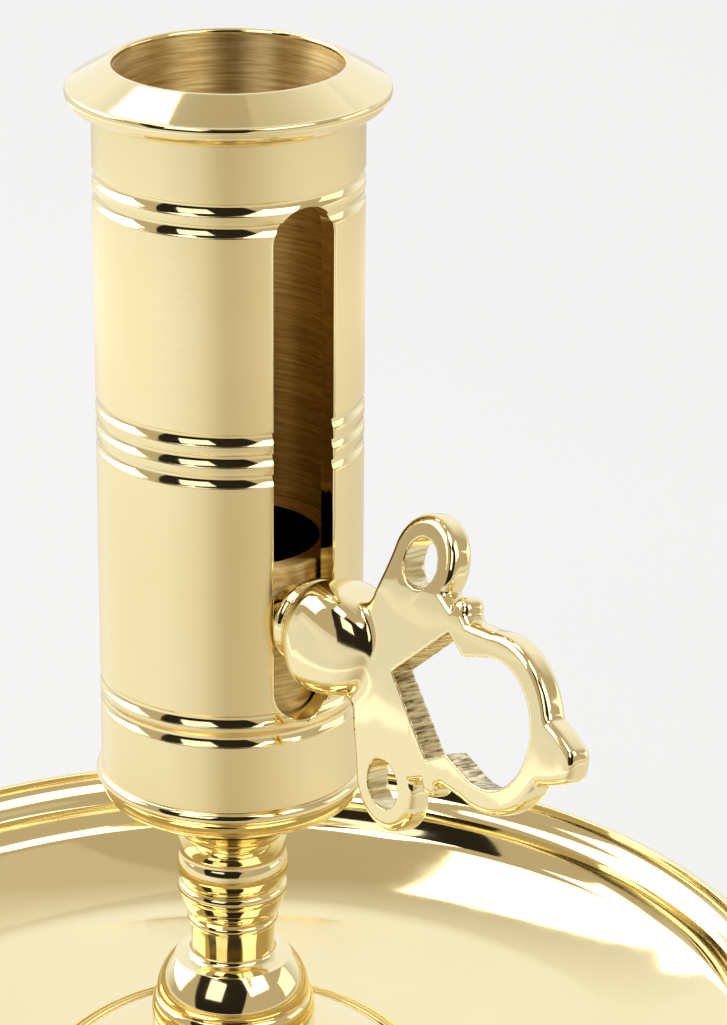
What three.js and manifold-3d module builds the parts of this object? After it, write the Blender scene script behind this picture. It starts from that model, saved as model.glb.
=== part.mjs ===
// Push-up candlestick on a drip dish, in millimetres, +Z up.
// The origin is on the table under the middle of the dish, and the thumb piece points along +X.
import * as THREE from "three";
import { mergeVertices } from "three/addons/utils/BufferGeometryUtils.js";
import Module from "manifold-3d";

const wasm = await Module();
wasm.setup();

// Fits
const SEAT_GAP = 0.3; // round a spigot, rod, screw or rivet in its hole
const SLIDE_GAP = 0.35; // between the follower cup and the bore
const SLOT_GAP = 0.3; // between the shank and each side of the slot
const SHOULDER_GAP = 0.35; // between the thumb piece's shoulder and the tube
const LEAF_GAP = 0.1; // between the bowed leaf and what it rubs on or lies on

// Drip dish
const DISH_RADIUS = 60.2;
const DISH_DEPTH = 12.1; // from the edge down to the floor
const DISH_WALL = 1.9;
const LIP_WIDTH = 2.8; // from the edge in to the upper crease
const LIP_DROP = 3.0;
const LIP_ROUND = 0.4;
const BAND_WIDTH = 1.3; // between the two creases
const BAND_DROP = 3.3;
const CREASE = 0.35; // depth of each crease
const COVE_WIDTH = 12.1; // hollow between the lower crease and the floor
const HEEL_WIDTH = 2.8; // short bend at the foot of that hollow
const HEEL_RISE = 0.6;
const FLOOR_THICKNESS = 2.0; // at the edge of the floor
const FLOOR_SAG = 0.4; // fall of the floor from its edge to its flat middle
const FLOOR_RISE_WIDTH = 9.0; // outer part of the floor, which rises to its edge
const FOOT_HEIGHT = 1.5; // the ring that the dish stands on
const FOOT_WIDTH = 3.2;
const FOOT_FLARE = 0.6;
const BOSS_RADIUS = 20.75; // raised centre, at its edge
const BOSS_EDGE_RISE = 3.1; // the edge above the floor
const BOSS_RISE = 7.1; // the seat above the floor
const BOSS_HOLLOW = 2.6; // width of the hollow round the boss
const BOSS_THICKNESS = 2.2;

// Flange under the stem
const FLANGE_RADIUS = 8.75;
const FLANGE_HEIGHT = 6.15;
const FLANGE_ROUND = 2.4; // height of the rounded shoulder
const SEAT_MARGIN = 0.6; // flat of the boss outside the flange

// Stem
const STEM_HEIGHT = 13.45;
const STEM_FOOT_RADIUS = 8.2; // domed foot, where it sits on the flange
const STEM_FOOT_HEIGHT = 4.5; // height of the edge where the dome ends
const STEM_FOOT_TOP = 6.2; // radius of that edge
const STEM_LIP = 0.35;
const SHOULDER_RISE = 0.3; // rise of the nearly flat shoulder inside the edge
const SHANK_RISE = 5.5; // where the shoulder has bent up into the shank
const SHANK_RADIUS = 4.45;
const RING_RISE = 9.0; // middle of the small ring
const RING_RADIUS = 0.5;
const RING_SWELL = 0.38;
const COLLAR_RADIUS = 5.85;
const COLLAR_HEIGHT = 1.5;
const NECK_INSET = 0.5; // depth of the joint line between stem and pedestal

// Pedestal and bead under the tube
const PEDESTAL_RADIUS = 5.9;
const PEDESTAL_SWELL = 0.7; // how far the pedestal bulges
const PEDESTAL_HEIGHT = 3.5; // where the hollow underside starts
const UNDERSIDE_BEND = 7.3; // height that the hollow bends about
const UNDERSIDE_HEIGHT = 10.9; // where it reaches the band
const BAND_INSET = 0.2; // the band stands inside the tube's line
const BASE_BAND = 1.1; // height of the band
const BASE_HEIGHT = 14.0;
const BEAD_RADIUS = 0.8;
const BEAD_SWELL = 0.55; // how far the bead stands out from the tube
const SPIGOT_HEIGHT = 2.0; // plug that centres the tube
const SPIGOT_CHAMFER = 0.4;
const ROD_SOCKET = 13.0; // depth of the hole for the tie rod

// Candle tube
const BORE_RADIUS = 11.5; // takes a 22 mm candle
const TUBE_WALL = 2.15;
const TUBE_LENGTH = 70.7;
const GROOVE_DEPTH = 0.3;
const GROOVE_WIDTH = 1.25;
const GROOVE_PITCH = 2.2;
const UPPER_GROOVES = 2;
const UPPER_DROP = 7.45; // middle of the upper grooves below the rim
const MIDDLE_GROOVES = 3;
const MIDDLE_DROP = 32.35;
const LOWER_GROOVES = 2;
const LOWER_RISE = 9.0; // middle of the lower grooves above the bead
const SLOT_WIDTH = 7.2;
const SLOT_FOOT = 9.45; // tube left below the slot
const SLOT_HEAD = 6.8; // tube left above the slot
const RIM_SPIGOT = 2.4; // top of the tube inside the rim
const RIM_SPIGOT_WALL = 1.1;

// Rim
const RIM_HEIGHT = 4.9;
const RIM_OVERHANG = 2.6;
const RIM_EDGE_RISE = 2.1; // widest point above the underside
const RIM_FACE_DROP = 2.25; // fall of the sloping top face
const RIM_EDGE_ROUND = 0.2;
const LIP_RADIUS = 0.35; // rounding round the bore

// Ejector
const EJECTOR_RISE = 20.5; // neck axis above the bead, as photographed
const CUP_ABOVE = 5.0; // cup rim above the neck axis
const CUP_BELOW = 12.2; // far enough down to close the foot of the slot at rest
const CUP_WALL = 2.0;
const CUP_FLOOR = 2.0;
const CUP_CHAMFER = 0.4;
const SCREW_RADIUS = 1.5;
const SCREW_HEAD_RADIUS = 2.3;
const SCREW_HEAD = 1.3;
const SCREW_BITE = 7.5; // length of the screw in the thumb piece
const DRIVER_SLOT = 0.6;
const LEAF_WIDTH = 4.0;
const LEAF_THICKNESS = 0.3;
const LEAF_TAB = 3.0; // flat end of the leaf, under the rivet
const POCKET_DEPTH = 0.9;
const POCKET_MARGIN = 1.0; // cup left above and below the pocket
const RIVET_RADIUS = 0.6;
const RIVET_HEAD_RADIUS = 1.1;
const RIVET_HEAD = 0.4;

// Thumb piece: reach is counted along the neck from its shoulder, spread across it from the neck axis,
// and back is counted towards the neck from the next feature further out
const SHOULDER_LAP = 1.0; // shoulder beyond each side of the slot
const SHOULDER_WIDTH = 0.6;
const NECK_WAIST = 0.35; // hollow between shoulder and bulb
const BULB_RADIUS = 5.65;
const BULB_REACH = 4.3;
const BULB_END = 13.2;
const PLATE_THICKNESS = 2.7;
const PLATE_EDGE = 0.35; // rounding of the plate's edges
const PLATE_TWIST = 11.5; // degrees about the neck axis
const PLATE_LIFT = 0.6; // degrees that the far end of the plate is raised
const ROOT_REACH = 5.0;
const ROOT_SPREAD = 4.4;
const EYE_REACH = 31.2; // ring at the end of the plate
const EYE_RADIUS = 8.85;
const EYE_WALL = 2.55; // between the ring's outline and the round end of the window
const KNOB_BACK = 7.4; // small bead between ear and ring
const KNOB_SPREAD = 8.9;
const KNOB_RADIUS = 1.25;
const EAR_BACK = 7.1;
const EAR_SPREAD = 11.4;
const EAR_RADIUS = 4.8;
const EAR_WALL = 2.3; // round the hole in each ear
const CUSP_ANGLE = 137.0; // degrees round the ring
const CUSP_PROUD = 0.92; // the cusp's point outside the window's round end
const CORNER_BACK = 2.7; // widest point of the window's pointed front
const CORNER_RISE = 1.6; // above the cusp
const APEX_BACK = 7.4;
const TIP_LENGTH = 3.85; // beyond the ring
const TIP_RADIUS = 2.1;

// Tie rod and what holds it
const ROD_RADIUS = 3.0;
const ROD_CHAMFER = 0.5;
const ROD_PROUD = 0.7; // below the nut
const WASHER_RADIUS = 7.0;
const WASHER_THICKNESS = 1.2;
const LOCK_RADIUS = 5.3;
const LOCK_THICKNESS = 1.3;
const LOCK_SPLIT = 1.0;
const NUT_FLATS = 10.0;
const NUT_THICKNESS = 3.2;

// Facets
const DISH_SIDES = 60;
const TURNED_SIDES = 36;
const STEM_SIDES = 28;
const SMALL_SIDES = 16;
const ARC_STEPS = 10;
const CURVE_STEPS = 4;

// Heights of the seats, from the table up
const floorUnder = FOOT_HEIGHT;
const floorTop = floorUnder + FLOOR_THICKNESS;
const edgeTop = floorTop + DISH_DEPTH;
const bossTop = floorTop + BOSS_RISE;
const stemSeat = bossTop + FLANGE_HEIGHT;
const baseSeat = stemSeat + STEM_HEIGHT;
const tubeSeat = baseSeat + BASE_HEIGHT;
const rimSeat = tubeSeat + TUBE_LENGTH;
const neckHeight = tubeSeat + EJECTOR_RISE;

// Radii that several pieces share
const tubeRadius = BORE_RADIUS + TUBE_WALL;
const rodHole = ROD_RADIUS + SEAT_GAP;
const rimSpigotRadius = BORE_RADIUS + RIM_SPIGOT_WALL;
const cupRadius = BORE_RADIUS - SLIDE_GAP;
const cupBore = cupRadius - CUP_WALL;
const screwHole = SCREW_RADIUS + SEAT_GAP;
const rivetHole = RIVET_RADIUS + SEAT_GAP / 2;
const shankRadius = SLOT_WIDTH / 2 - SLOT_GAP;
const shoulderStart = tubeRadius + SHOULDER_GAP;
const shankStart = cupRadius + SEAT_GAP;
const pocketFloor = cupRadius - POCKET_DEPTH;
const pocketMiddle = (CUP_ABOVE - CUP_BELOW) / 2;
const pocketLength = CUP_ABOVE + CUP_BELOW - 2 * POCKET_MARGIN;
const leafLength = pocketLength - 2 * SEAT_GAP;
const tabMiddle = pocketMiddle + (leafLength - LEAF_TAB) / 2;
const knobReach = EYE_REACH - KNOB_BACK;
const earReach = knobReach - EAR_BACK;
const windowRadius = EYE_RADIUS - EYE_WALL;

const metal = (color, roughness) => new THREE.MeshStandardMaterial({ color, roughness, metalness: 1 });
const polishedBrass = () => metal(0xe2c477, 0.12);
const satinBrass = () => metal(0xdcbf7a, 0.32);
const steel = () => metal(0xb4b2ac, 0.35);

const degrees = (angle) => (angle * Math.PI) / 180;
const point = (x, y) => new THREE.Vector2(x, y);

// Points of a curve pulled towards a corner, without the start point.
function bend(start, corner, end, steps = CURVE_STEPS) {
  return new THREE.QuadraticBezierCurve(start, corner, end).getPoints(steps).slice(1);
}

// Points of an elliptical arc, the angles in degrees.
function arc(x, y, width, height, from, to, steps) {
  const points = [];
  for (let i = 0; i <= steps; i += 1) {
    const angle = degrees(from + ((to - from) * i) / steps);
    points.push(point(x + width * Math.cos(angle), y + height * Math.sin(angle)));
  }
  return points;
}

// A geometry with shared vertices, without empty triangles, facing outwards.
function closed(geometry) {
  const bare = geometry.clone();
  bare.deleteAttribute("normal");
  bare.deleteAttribute("uv");
  const merged = mergeVertices(bare, 1e-4);
  const place = merged.getAttribute("position");
  const corner = (i) => new THREE.Vector3().fromBufferAttribute(place, i);
  const kept = [];
  let volume = 0;
  for (let i = 0; i < merged.index.count; i += 3) {
    const [a, b, c] = [0, 1, 2].map((k) => merged.index.getX(i + k));
    if (a === b || b === c || c === a) continue;
    kept.push(a, b, c);
    volume += corner(a).dot(corner(b).cross(corner(c)));
  }
  if (volume < 0) kept.reverse();
  merged.setIndex(kept);
  return merged;
}

function solid(geometry) {
  const shape = closed(geometry);
  const vertProperties = new Float32Array(shape.getAttribute("position").array);
  const triVerts = new Uint32Array(shape.index.array);
  return new wasm.Manifold(new wasm.Mesh({ numProp: 3, vertProperties, triVerts }));
}

function geometryOf(manifold) {
  const { vertProperties, triVerts } = manifold.getMesh();
  const geometry = new THREE.BufferGeometry();
  geometry.setAttribute("position", new THREE.BufferAttribute(vertProperties, 3));
  geometry.setIndex(new THREE.BufferAttribute(triVerts, 1));
  return geometry;
}

// Turned about +Z from a profile of (radius, height) points.
function turned(profile, sides) {
  return closed(new THREE.LatheGeometry(profile, sides).rotateX(Math.PI / 2));
}

// Turned about +X from a profile of (radius, distance along X) points.
function turnedAlong(profile, sides) {
  return closed(new THREE.LatheGeometry(profile, sides).rotateZ(-Math.PI / 2));
}

// A ring-shaped profile returns to its first point.
function ring(...points) {
  return [...points, points[0].clone()];
}

// A flat shape in Y and Z, extruded along X.
function extrudedAlongX(shape, start, length) {
  const geometry = new THREE.ExtrudeGeometry(shape, { depth: length, bevelEnabled: false });
  const basis = new THREE.Matrix4().makeBasis(
    new THREE.Vector3(0, 1, 0),
    new THREE.Vector3(0, 0, 1),
    new THREE.Vector3(1, 0, 0),
  );
  return closed(geometry.applyMatrix4(basis).translate(start, 0, 0));
}

function piece(name, geometry, material, height) {
  const mesh = new THREE.Mesh(geometry, material);
  mesh.name = name;
  mesh.position.z = height;
  return mesh;
}

function dripDish() {
  const lipFoot = edgeTop - LIP_DROP;
  const bandFoot = lipFoot - BAND_DROP;
  const upperCrease = DISH_RADIUS - LIP_WIDTH;
  const lowerCrease = upperCrease - BAND_WIDTH;
  const floorRadius = lowerCrease - COVE_WIDTH;
  const seatRadius = FLANGE_RADIUS + SEAT_MARGIN;
  const bossEdge = floorTop + BOSS_EDGE_RISE;
  const bossUnder = bossTop - BOSS_THICKNESS;
  const washerSeat = Math.max(seatRadius, WASHER_RADIUS + SEAT_MARGIN);
  const lipInside = point(DISH_RADIUS - 2 * LIP_ROUND, edgeTop - LIP_ROUND);
  const lipStart = point(upperCrease + CREASE / 2, lipFoot);
  const bandStart = point(lowerCrease + CREASE / 2, bandFoot);
  const bandEnd = point(upperCrease - CREASE / 2, lipFoot - CREASE);
  const coveEnd = point(lowerCrease - CREASE / 2, bandFoot - CREASE);
  const floorMiddle = floorTop - FLOOR_SAG;
  const floorEdge = point(floorRadius, floorTop);
  const floorBend = point(floorRadius - FLOOR_RISE_WIDTH / 2, floorMiddle);
  const floorFlat = point(floorRadius - FLOOR_RISE_WIDTH, floorMiddle);
  const heelEnd = point(floorRadius + HEEL_WIDTH, floorTop + HEEL_RISE);
  const heelBend = point(floorRadius + (HEEL_WIDTH * 2) / 3, floorTop + HEEL_RISE * 0.4);
  const coveBend = point((heelEnd.x + coveEnd.x) / 2, (2 * heelEnd.y + coveEnd.y) / 3);
  const bossFoot = point(BOSS_RADIUS + BOSS_HOLLOW, floorMiddle);
  const bossRim = point(BOSS_RADIUS, bossEdge);
  const seatEdge = point(seatRadius, bossTop);
  const wallTop = point(DISH_RADIUS, edgeTop - 2 * LIP_ROUND);
  const wallMiddle = point(upperCrease + DISH_WALL, lipFoot - CREASE);
  const wallFoot = point(lowerCrease + DISH_WALL, bandFoot - DISH_WALL / 3);
  const footTop = point(floorRadius + FOOT_FLARE, floorUnder);
  const underRim = point(BOSS_RADIUS - FLOOR_THICKNESS / 2, bossEdge - FLOOR_THICKNESS);
  const underFoot = point(BOSS_RADIUS + BOSS_HOLLOW / 2, floorUnder);
  const underSeat = point(washerSeat, bossUnder);
  const profile = ring(
    point(rodHole, bossTop),
    seatEdge,
    ...bend(seatEdge, point((seatRadius + 2 * BOSS_RADIUS) / 3, bossTop), bossRim),
    ...bend(bossRim, point(BOSS_RADIUS + BOSS_HOLLOW / 4, floorMiddle), bossFoot, 3),
    floorFlat,
    ...bend(floorFlat, floorBend, floorEdge, 3),
    ...bend(floorEdge, heelBend, heelEnd, 2),
    ...bend(heelEnd, coveBend, coveEnd, 4),
    bandStart,
    ...bend(bandStart, point(bandEnd.x, bandStart.y + BAND_DROP / 2), bandEnd, 2),
    lipStart,
    ...bend(lipStart, point(lipInside.x, lipFoot + LIP_DROP / 3), lipInside, 2),
    point(DISH_RADIUS - LIP_ROUND * 1.4, edgeTop),
    point(DISH_RADIUS - LIP_ROUND * 0.6, edgeTop),
    point(DISH_RADIUS, edgeTop - LIP_ROUND),
    wallTop,
    wallMiddle,
    wallFoot,
    ...bend(wallFoot, point(lowerCrease - COVE_WIDTH / 3, floorUnder), footTop, 4),
    point(floorRadius, 0),
    point(floorRadius - FOOT_WIDTH, 0),
    point(floorRadius - FOOT_WIDTH - FOOT_FLARE, floorUnder),
    underFoot,
    ...bend(underFoot, point(BOSS_RADIUS, floorUnder), underRim, 2),
    ...bend(underRim, point((washerSeat + underRim.x) / 2, bossUnder), underSeat, 3),
    point(rodHole, bossUnder),
  );
  return piece("drip_dish", turned(profile, DISH_SIDES), polishedBrass(), 0);
}

function stemFlange() {
  const shoulder = point(FLANGE_RADIUS, FLANGE_HEIGHT - FLANGE_ROUND);
  const top = point(STEM_FOOT_RADIUS, FLANGE_HEIGHT);
  const profile = ring(
    point(rodHole, 0),
    point(FLANGE_RADIUS - CREASE, 0),
    point(FLANGE_RADIUS, CREASE),
    shoulder,
    ...bend(shoulder, point(FLANGE_RADIUS, FLANGE_HEIGHT - CREASE), top),
    point(rodHole, FLANGE_HEIGHT),
  );
  return piece("stem_flange", turned(profile, STEM_SIDES), polishedBrass(), bossTop);
}

function stem() {
  const footSide = point(STEM_FOOT_RADIUS, STEM_LIP);
  const footBend = point(STEM_FOOT_RADIUS - STEM_LIP / 2, STEM_FOOT_HEIGHT * 0.55);
  const footTop = point(STEM_FOOT_TOP, STEM_FOOT_HEIGHT);
  const shoulderBend = point(SHANK_RADIUS, STEM_FOOT_HEIGHT + SHOULDER_RISE);
  const shankFoot = point(SHANK_RADIUS, SHANK_RISE);
  const collarFoot = STEM_HEIGHT - COLLAR_HEIGHT;
  const collarCore = COLLAR_RADIUS - NECK_INSET;
  const cupFoot = point(SHANK_RADIUS + RING_SWELL / 2, RING_RISE + RING_RADIUS * 1.6);
  const cupTop = point(COLLAR_RADIUS - NECK_INSET / 2, collarFoot);
  const profile = ring(
    point(rodHole, 0),
    point(STEM_FOOT_RADIUS - STEM_LIP / 3, 0),
    footSide,
    ...bend(footSide, footBend, footTop, 6),
    ...bend(footTop, shoulderBend, shankFoot, 6),
    ...arc(SHANK_RADIUS, RING_RISE, RING_SWELL, RING_RADIUS, -90, 60, 4),
    cupFoot,
    ...bend(cupFoot, point(cupTop.x - NECK_INSET / 2, cupFoot.y + RING_RADIUS), cupTop, 3),
    ...arc(collarCore, collarFoot + COLLAR_HEIGHT / 2, NECK_INSET, COLLAR_HEIGHT / 2, -60, 90, 5),
    point(rodHole, STEM_HEIGHT),
  );
  return piece("stem", turned(profile, STEM_SIDES), polishedBrass(), stemSeat);
}

function tubeBase() {
  const spigotRadius = BORE_RADIUS - SEAT_GAP;
  const waist = PEDESTAL_RADIUS - PEDESTAL_SWELL;
  const bandRadius = tubeRadius - BAND_INSET;
  const coveFoot = point(waist + PEDESTAL_SWELL / 2, PEDESTAL_HEIGHT);
  const coveTop = point(bandRadius - BAND_INSET, UNDERSIDE_HEIGHT);
  const beadMiddle = BASE_HEIGHT - BEAD_RADIUS;
  const beadCentre = tubeRadius + BEAD_SWELL - BEAD_RADIUS;
  const spigotTop = BASE_HEIGHT + SPIGOT_HEIGHT;
  const profile = [
    point(0, ROD_SOCKET),
    point(rodHole, ROD_SOCKET),
    point(rodHole, 0),
    point(COLLAR_RADIUS - NECK_INSET, 0),
    ...arc(waist, PEDESTAL_HEIGHT / 2, PEDESTAL_SWELL, PEDESTAL_HEIGHT / 2, -75, 60, 6),
    ...bend(coveFoot, point(coveFoot.x, UNDERSIDE_BEND), coveTop, 7),
    point(bandRadius, UNDERSIDE_HEIGHT + BASE_BAND / 3),
    point(bandRadius, UNDERSIDE_HEIGHT + BASE_BAND),
    ...arc(beadCentre, beadMiddle, BEAD_RADIUS, BEAD_RADIUS, -75, 75, 5),
    point(beadCentre, BASE_HEIGHT),
    point(spigotRadius, BASE_HEIGHT),
    point(spigotRadius, spigotTop - SPIGOT_CHAMFER),
    point(spigotRadius - SPIGOT_CHAMFER, spigotTop),
    point(0, spigotTop),
  ];
  return piece("tube_base", turned(profile, TURNED_SIDES), polishedBrass(), baseSeat);
}

// A row of turned grooves about one height, from the lowest up.
function grooves(count, middle) {
  const points = [];
  for (let i = 0; i < count; i += 1) {
    const height = middle + (i - (count - 1) / 2) * GROOVE_PITCH;
    points.push(...arc(tubeRadius, height, GROOVE_DEPTH, GROOVE_WIDTH / 2, 270, 90, 3));
  }
  return points;
}

function candleTube() {
  const spigotTop = TUBE_LENGTH + RIM_SPIGOT;
  const profile = ring(
    point(BORE_RADIUS, 0),
    point(tubeRadius, 0),
    ...grooves(LOWER_GROOVES, LOWER_RISE),
    ...grooves(MIDDLE_GROOVES, TUBE_LENGTH - MIDDLE_DROP),
    ...grooves(UPPER_GROOVES, TUBE_LENGTH - UPPER_DROP),
    point(tubeRadius, TUBE_LENGTH),
    point(rimSpigotRadius, TUBE_LENGTH),
    point(rimSpigotRadius, spigotTop),
    point(BORE_RADIUS, spigotTop),
  );
  const end = SLOT_WIDTH / 2;
  const slot = new THREE.Shape([
    ...arc(0, TUBE_LENGTH - SLOT_HEAD - end, end, end, 0, 180, ARC_STEPS),
    ...arc(0, SLOT_FOOT + end, end, end, 180, 360, ARC_STEPS),
  ]);
  const cutter = solid(extrudedAlongX(slot, 0, 2 * tubeRadius));
  const tube = solid(turned(profile, TURNED_SIDES)).subtract(cutter);
  return piece("candle_tube", geometryOf(tube), satinBrass(), tubeSeat);
}

function rimCollar() {
  const rimRadius = tubeRadius + RIM_OVERHANG;
  const socket = rimSpigotRadius + SEAT_GAP;
  const socketTop = RIM_SPIGOT + SEAT_GAP;
  const edge = point(rimRadius, RIM_EDGE_RISE);
  const faceEdge = point(rimRadius - RIM_EDGE_ROUND, RIM_HEIGHT - RIM_FACE_DROP);
  const profile = ring(
    point(socket, 0),
    point(tubeRadius, 0),
    ...bend(point(tubeRadius, 0), point(rimRadius, RIM_EDGE_RISE / 3), edge),
    ...bend(edge, point(rimRadius, faceEdge.y), faceEdge, 2),
    ...arc(BORE_RADIUS + LIP_RADIUS, RIM_HEIGHT - LIP_RADIUS, LIP_RADIUS, LIP_RADIUS, 65, 180, 4),
    point(BORE_RADIUS, socketTop),
    point(socket, socketTop),
  );
  return piece("rim_collar", turned(profile, TURNED_SIDES), polishedBrass(), rimSeat);
}

function followerCup() {
  const profile = [
    point(0, -CUP_BELOW),
    point(cupRadius - CUP_CHAMFER, -CUP_BELOW),
    point(cupRadius, CUP_CHAMFER - CUP_BELOW),
    point(cupRadius, CUP_ABOVE),
    point(cupBore, CUP_ABOVE),
    point(cupBore, CUP_FLOOR - CUP_BELOW),
    point(0, CUP_FLOOR - CUP_BELOW),
  ];
  const screw = new THREE.CylinderGeometry(screwHole, screwHole, 2 * CUP_WALL, SMALL_SIDES);
  screw.rotateZ(Math.PI / 2).translate(cupRadius - CUP_WALL / 2, 0, 0);
  const pocket = new THREE.BoxGeometry(2 * POCKET_DEPTH, LEAF_WIDTH + 2 * SEAT_GAP, pocketLength);
  pocket.translate(-pocketFloor - POCKET_DEPTH, 0, pocketMiddle);
  const rivet = new THREE.CylinderGeometry(rivetHole, rivetHole, 2 * CUP_WALL, SMALL_SIDES);
  rivet.rotateZ(Math.PI / 2).translate(CUP_WALL / 2 - cupRadius, 0, tabMiddle);
  const cup = solid(turned(profile, TURNED_SIDES)).subtract(solid(screw)).subtract(solid(pocket));
  return piece("follower_cup", geometryOf(cup.subtract(solid(rivet))), satinBrass(), neckHeight);
}

// The neck: shank, shoulder, waist and bulb, turned about the neck axis.
function neck() {
  const shoulderRadius = SLOT_WIDTH / 2 + SHOULDER_LAP;
  const waistEnd = shoulderStart + 2 * SHOULDER_WIDTH;
  const waist = point(shoulderRadius - NECK_WAIST, waistEnd);
  const bulbMiddle = point(BULB_RADIUS, shoulderStart + BULB_REACH);
  const bulbEnd = point(0, shoulderStart + BULB_END);
  const profile = [
    point(0, shankStart),
    point(shankRadius, shankStart),
    point(shankRadius, shoulderStart),
    point(shoulderRadius, shoulderStart),
    point(shoulderRadius, shoulderStart + SHOULDER_WIDTH),
    waist,
    ...bend(waist, point(BULB_RADIUS, (waistEnd + bulbMiddle.y) / 2), bulbMiddle),
    ...bend(bulbMiddle, point(BULB_RADIUS, shoulderStart + BULB_END * 0.75), bulbEnd, 6),
  ];
  return turnedAlong(profile, STEM_SIDES);
}

// Both halves of an outline that is the same on each side of the neck axis, counter-clockwise.
function mirrored(upper) {
  const lower = upper.filter((p) => p.y > 0).map((p) => point(p.x, -p.y));
  return [...lower, ...upper.reverse()];
}

function plateOutline() {
  const root = point(ROOT_REACH, ROOT_SPREAD);
  const earSide = point(earReach - EAR_RADIUS, EAR_SPREAD);
  const hip = point(earSide.x - EAR_RADIUS / 4, ROOT_SPREAD + (EAR_SPREAD - ROOT_SPREAD) / 3);
  const eyeSide = arc(EYE_REACH, 0, EYE_RADIUS, EYE_RADIUS, 105, 22, 10);
  const eyeEnd = eyeSide[eyeSide.length - 1];
  const notch = point(knobReach + KNOB_RADIUS * 1.6, eyeSide[0].y - PLATE_EDGE / 2);
  const tipEnd = EYE_REACH + EYE_RADIUS + TIP_LENGTH;
  const tipRoot = point(tipEnd - TIP_LENGTH * 0.62, TIP_RADIUS);
  const tipSide = point(tipEnd - TIP_LENGTH * 0.14, TIP_RADIUS * 0.55);
  return mirrored([
    root,
    ...bend(root, point(hip.x - PLATE_EDGE, ROOT_SPREAD), hip),
    ...bend(hip, point(earSide.x - PLATE_EDGE, (hip.y + EAR_SPREAD) / 2), earSide, 3),
    ...arc(earReach, EAR_SPREAD, EAR_RADIUS, EAR_RADIUS, 165, -15, ARC_STEPS),
    ...arc(knobReach, KNOB_SPREAD, KNOB_RADIUS, KNOB_RADIUS, 160, 5, 6),
    notch,
    ...eyeSide,
    ...bend(eyeEnd, point(tipRoot.x - TIP_RADIUS / 2, TIP_RADIUS * 0.9), tipRoot, 2),
    ...bend(tipRoot, point(tipSide.x - PLATE_EDGE, TIP_RADIUS * 1.15), tipSide, 3),
    point(tipEnd, 0),
  ]);
}

// The window: a pointed front, a cusp on each side and a round end.
function windowOutline() {
  const [cusp] = arc(EYE_REACH, 0, windowRadius + CUSP_PROUD, windowRadius + CUSP_PROUD, CUSP_ANGLE, 0, 1);
  const corner = point(cusp.x - CORNER_BACK, cusp.y + CORNER_RISE);
  const lean = Math.acos(windowRadius / (windowRadius + CUSP_PROUD));
  const touch = CUSP_ANGLE - (lean * 180) / Math.PI;
  return mirrored([
    point(corner.x - APEX_BACK, 0),
    corner,
    cusp,
    ...arc(EYE_REACH, 0, windowRadius, windowRadius, touch, 0, ARC_STEPS),
  ]);
}

function thumbPiece() {
  const earHole = EAR_RADIUS - EAR_WALL;
  const plate = new THREE.Shape(plateOutline());
  plate.holes.push(new THREE.Path(windowOutline()));
  for (const side of [1, -1]) {
    const hole = arc(earReach, side * EAR_SPREAD, earHole, earHole, 0, 360, SMALL_SIDES);
    plate.holes.push(new THREE.Path(hole.slice(1)));
  }
  const edges = {
    depth: PLATE_THICKNESS - 2 * PLATE_EDGE,
    bevelThickness: PLATE_EDGE,
    bevelSize: PLATE_EDGE,
    bevelOffset: -PLATE_EDGE,
    bevelSegments: 1,
  };
  const flat = closed(new THREE.ExtrudeGeometry(plate, edges));
  flat.translate(0, 0, PLATE_EDGE - PLATE_THICKNESS / 2);
  flat.rotateX(Math.PI / 2 - degrees(PLATE_TWIST));
  flat.rotateY(-degrees(PLATE_LIFT)).translate(shoulderStart, 0, 0);
  const hole = new THREE.CylinderGeometry(screwHole, screwHole, SCREW_BITE + SEAT_GAP, SMALL_SIDES);
  hole.rotateZ(Math.PI / 2).translate(shankStart + (SCREW_BITE + SEAT_GAP) / 2, 0, 0);
  const casting = solid(neck()).add(solid(flat)).subtract(solid(hole));
  return piece("thumb_piece", geometryOf(casting), polishedBrass(), neckHeight);
}

function ejectorScrew() {
  const headUnder = Math.sqrt(cupBore ** 2 - SCREW_HEAD_RADIUS ** 2) - LEAF_GAP;
  const headTop = headUnder - SCREW_HEAD;
  const profile = [
    point(0, headTop),
    point(SCREW_HEAD_RADIUS - DRIVER_SLOT / 2, headTop),
    point(SCREW_HEAD_RADIUS, headTop + DRIVER_SLOT / 2),
    point(SCREW_HEAD_RADIUS, headUnder),
    point(SCREW_RADIUS, headUnder),
    point(SCREW_RADIUS, shankStart + SCREW_BITE - DRIVER_SLOT),
    point(SCREW_RADIUS - DRIVER_SLOT, shankStart + SCREW_BITE),
    point(0, shankStart + SCREW_BITE),
  ];
  const slot = new THREE.BoxGeometry(2 * DRIVER_SLOT, 3 * SCREW_HEAD_RADIUS, DRIVER_SLOT);
  slot.translate(headTop, 0, 0);
  const screw = solid(turnedAlong(profile, SMALL_SIDES)).subtract(solid(slot));
  return piece("ejector_screw", geometryOf(screw), steel(), neckHeight);
}

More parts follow.
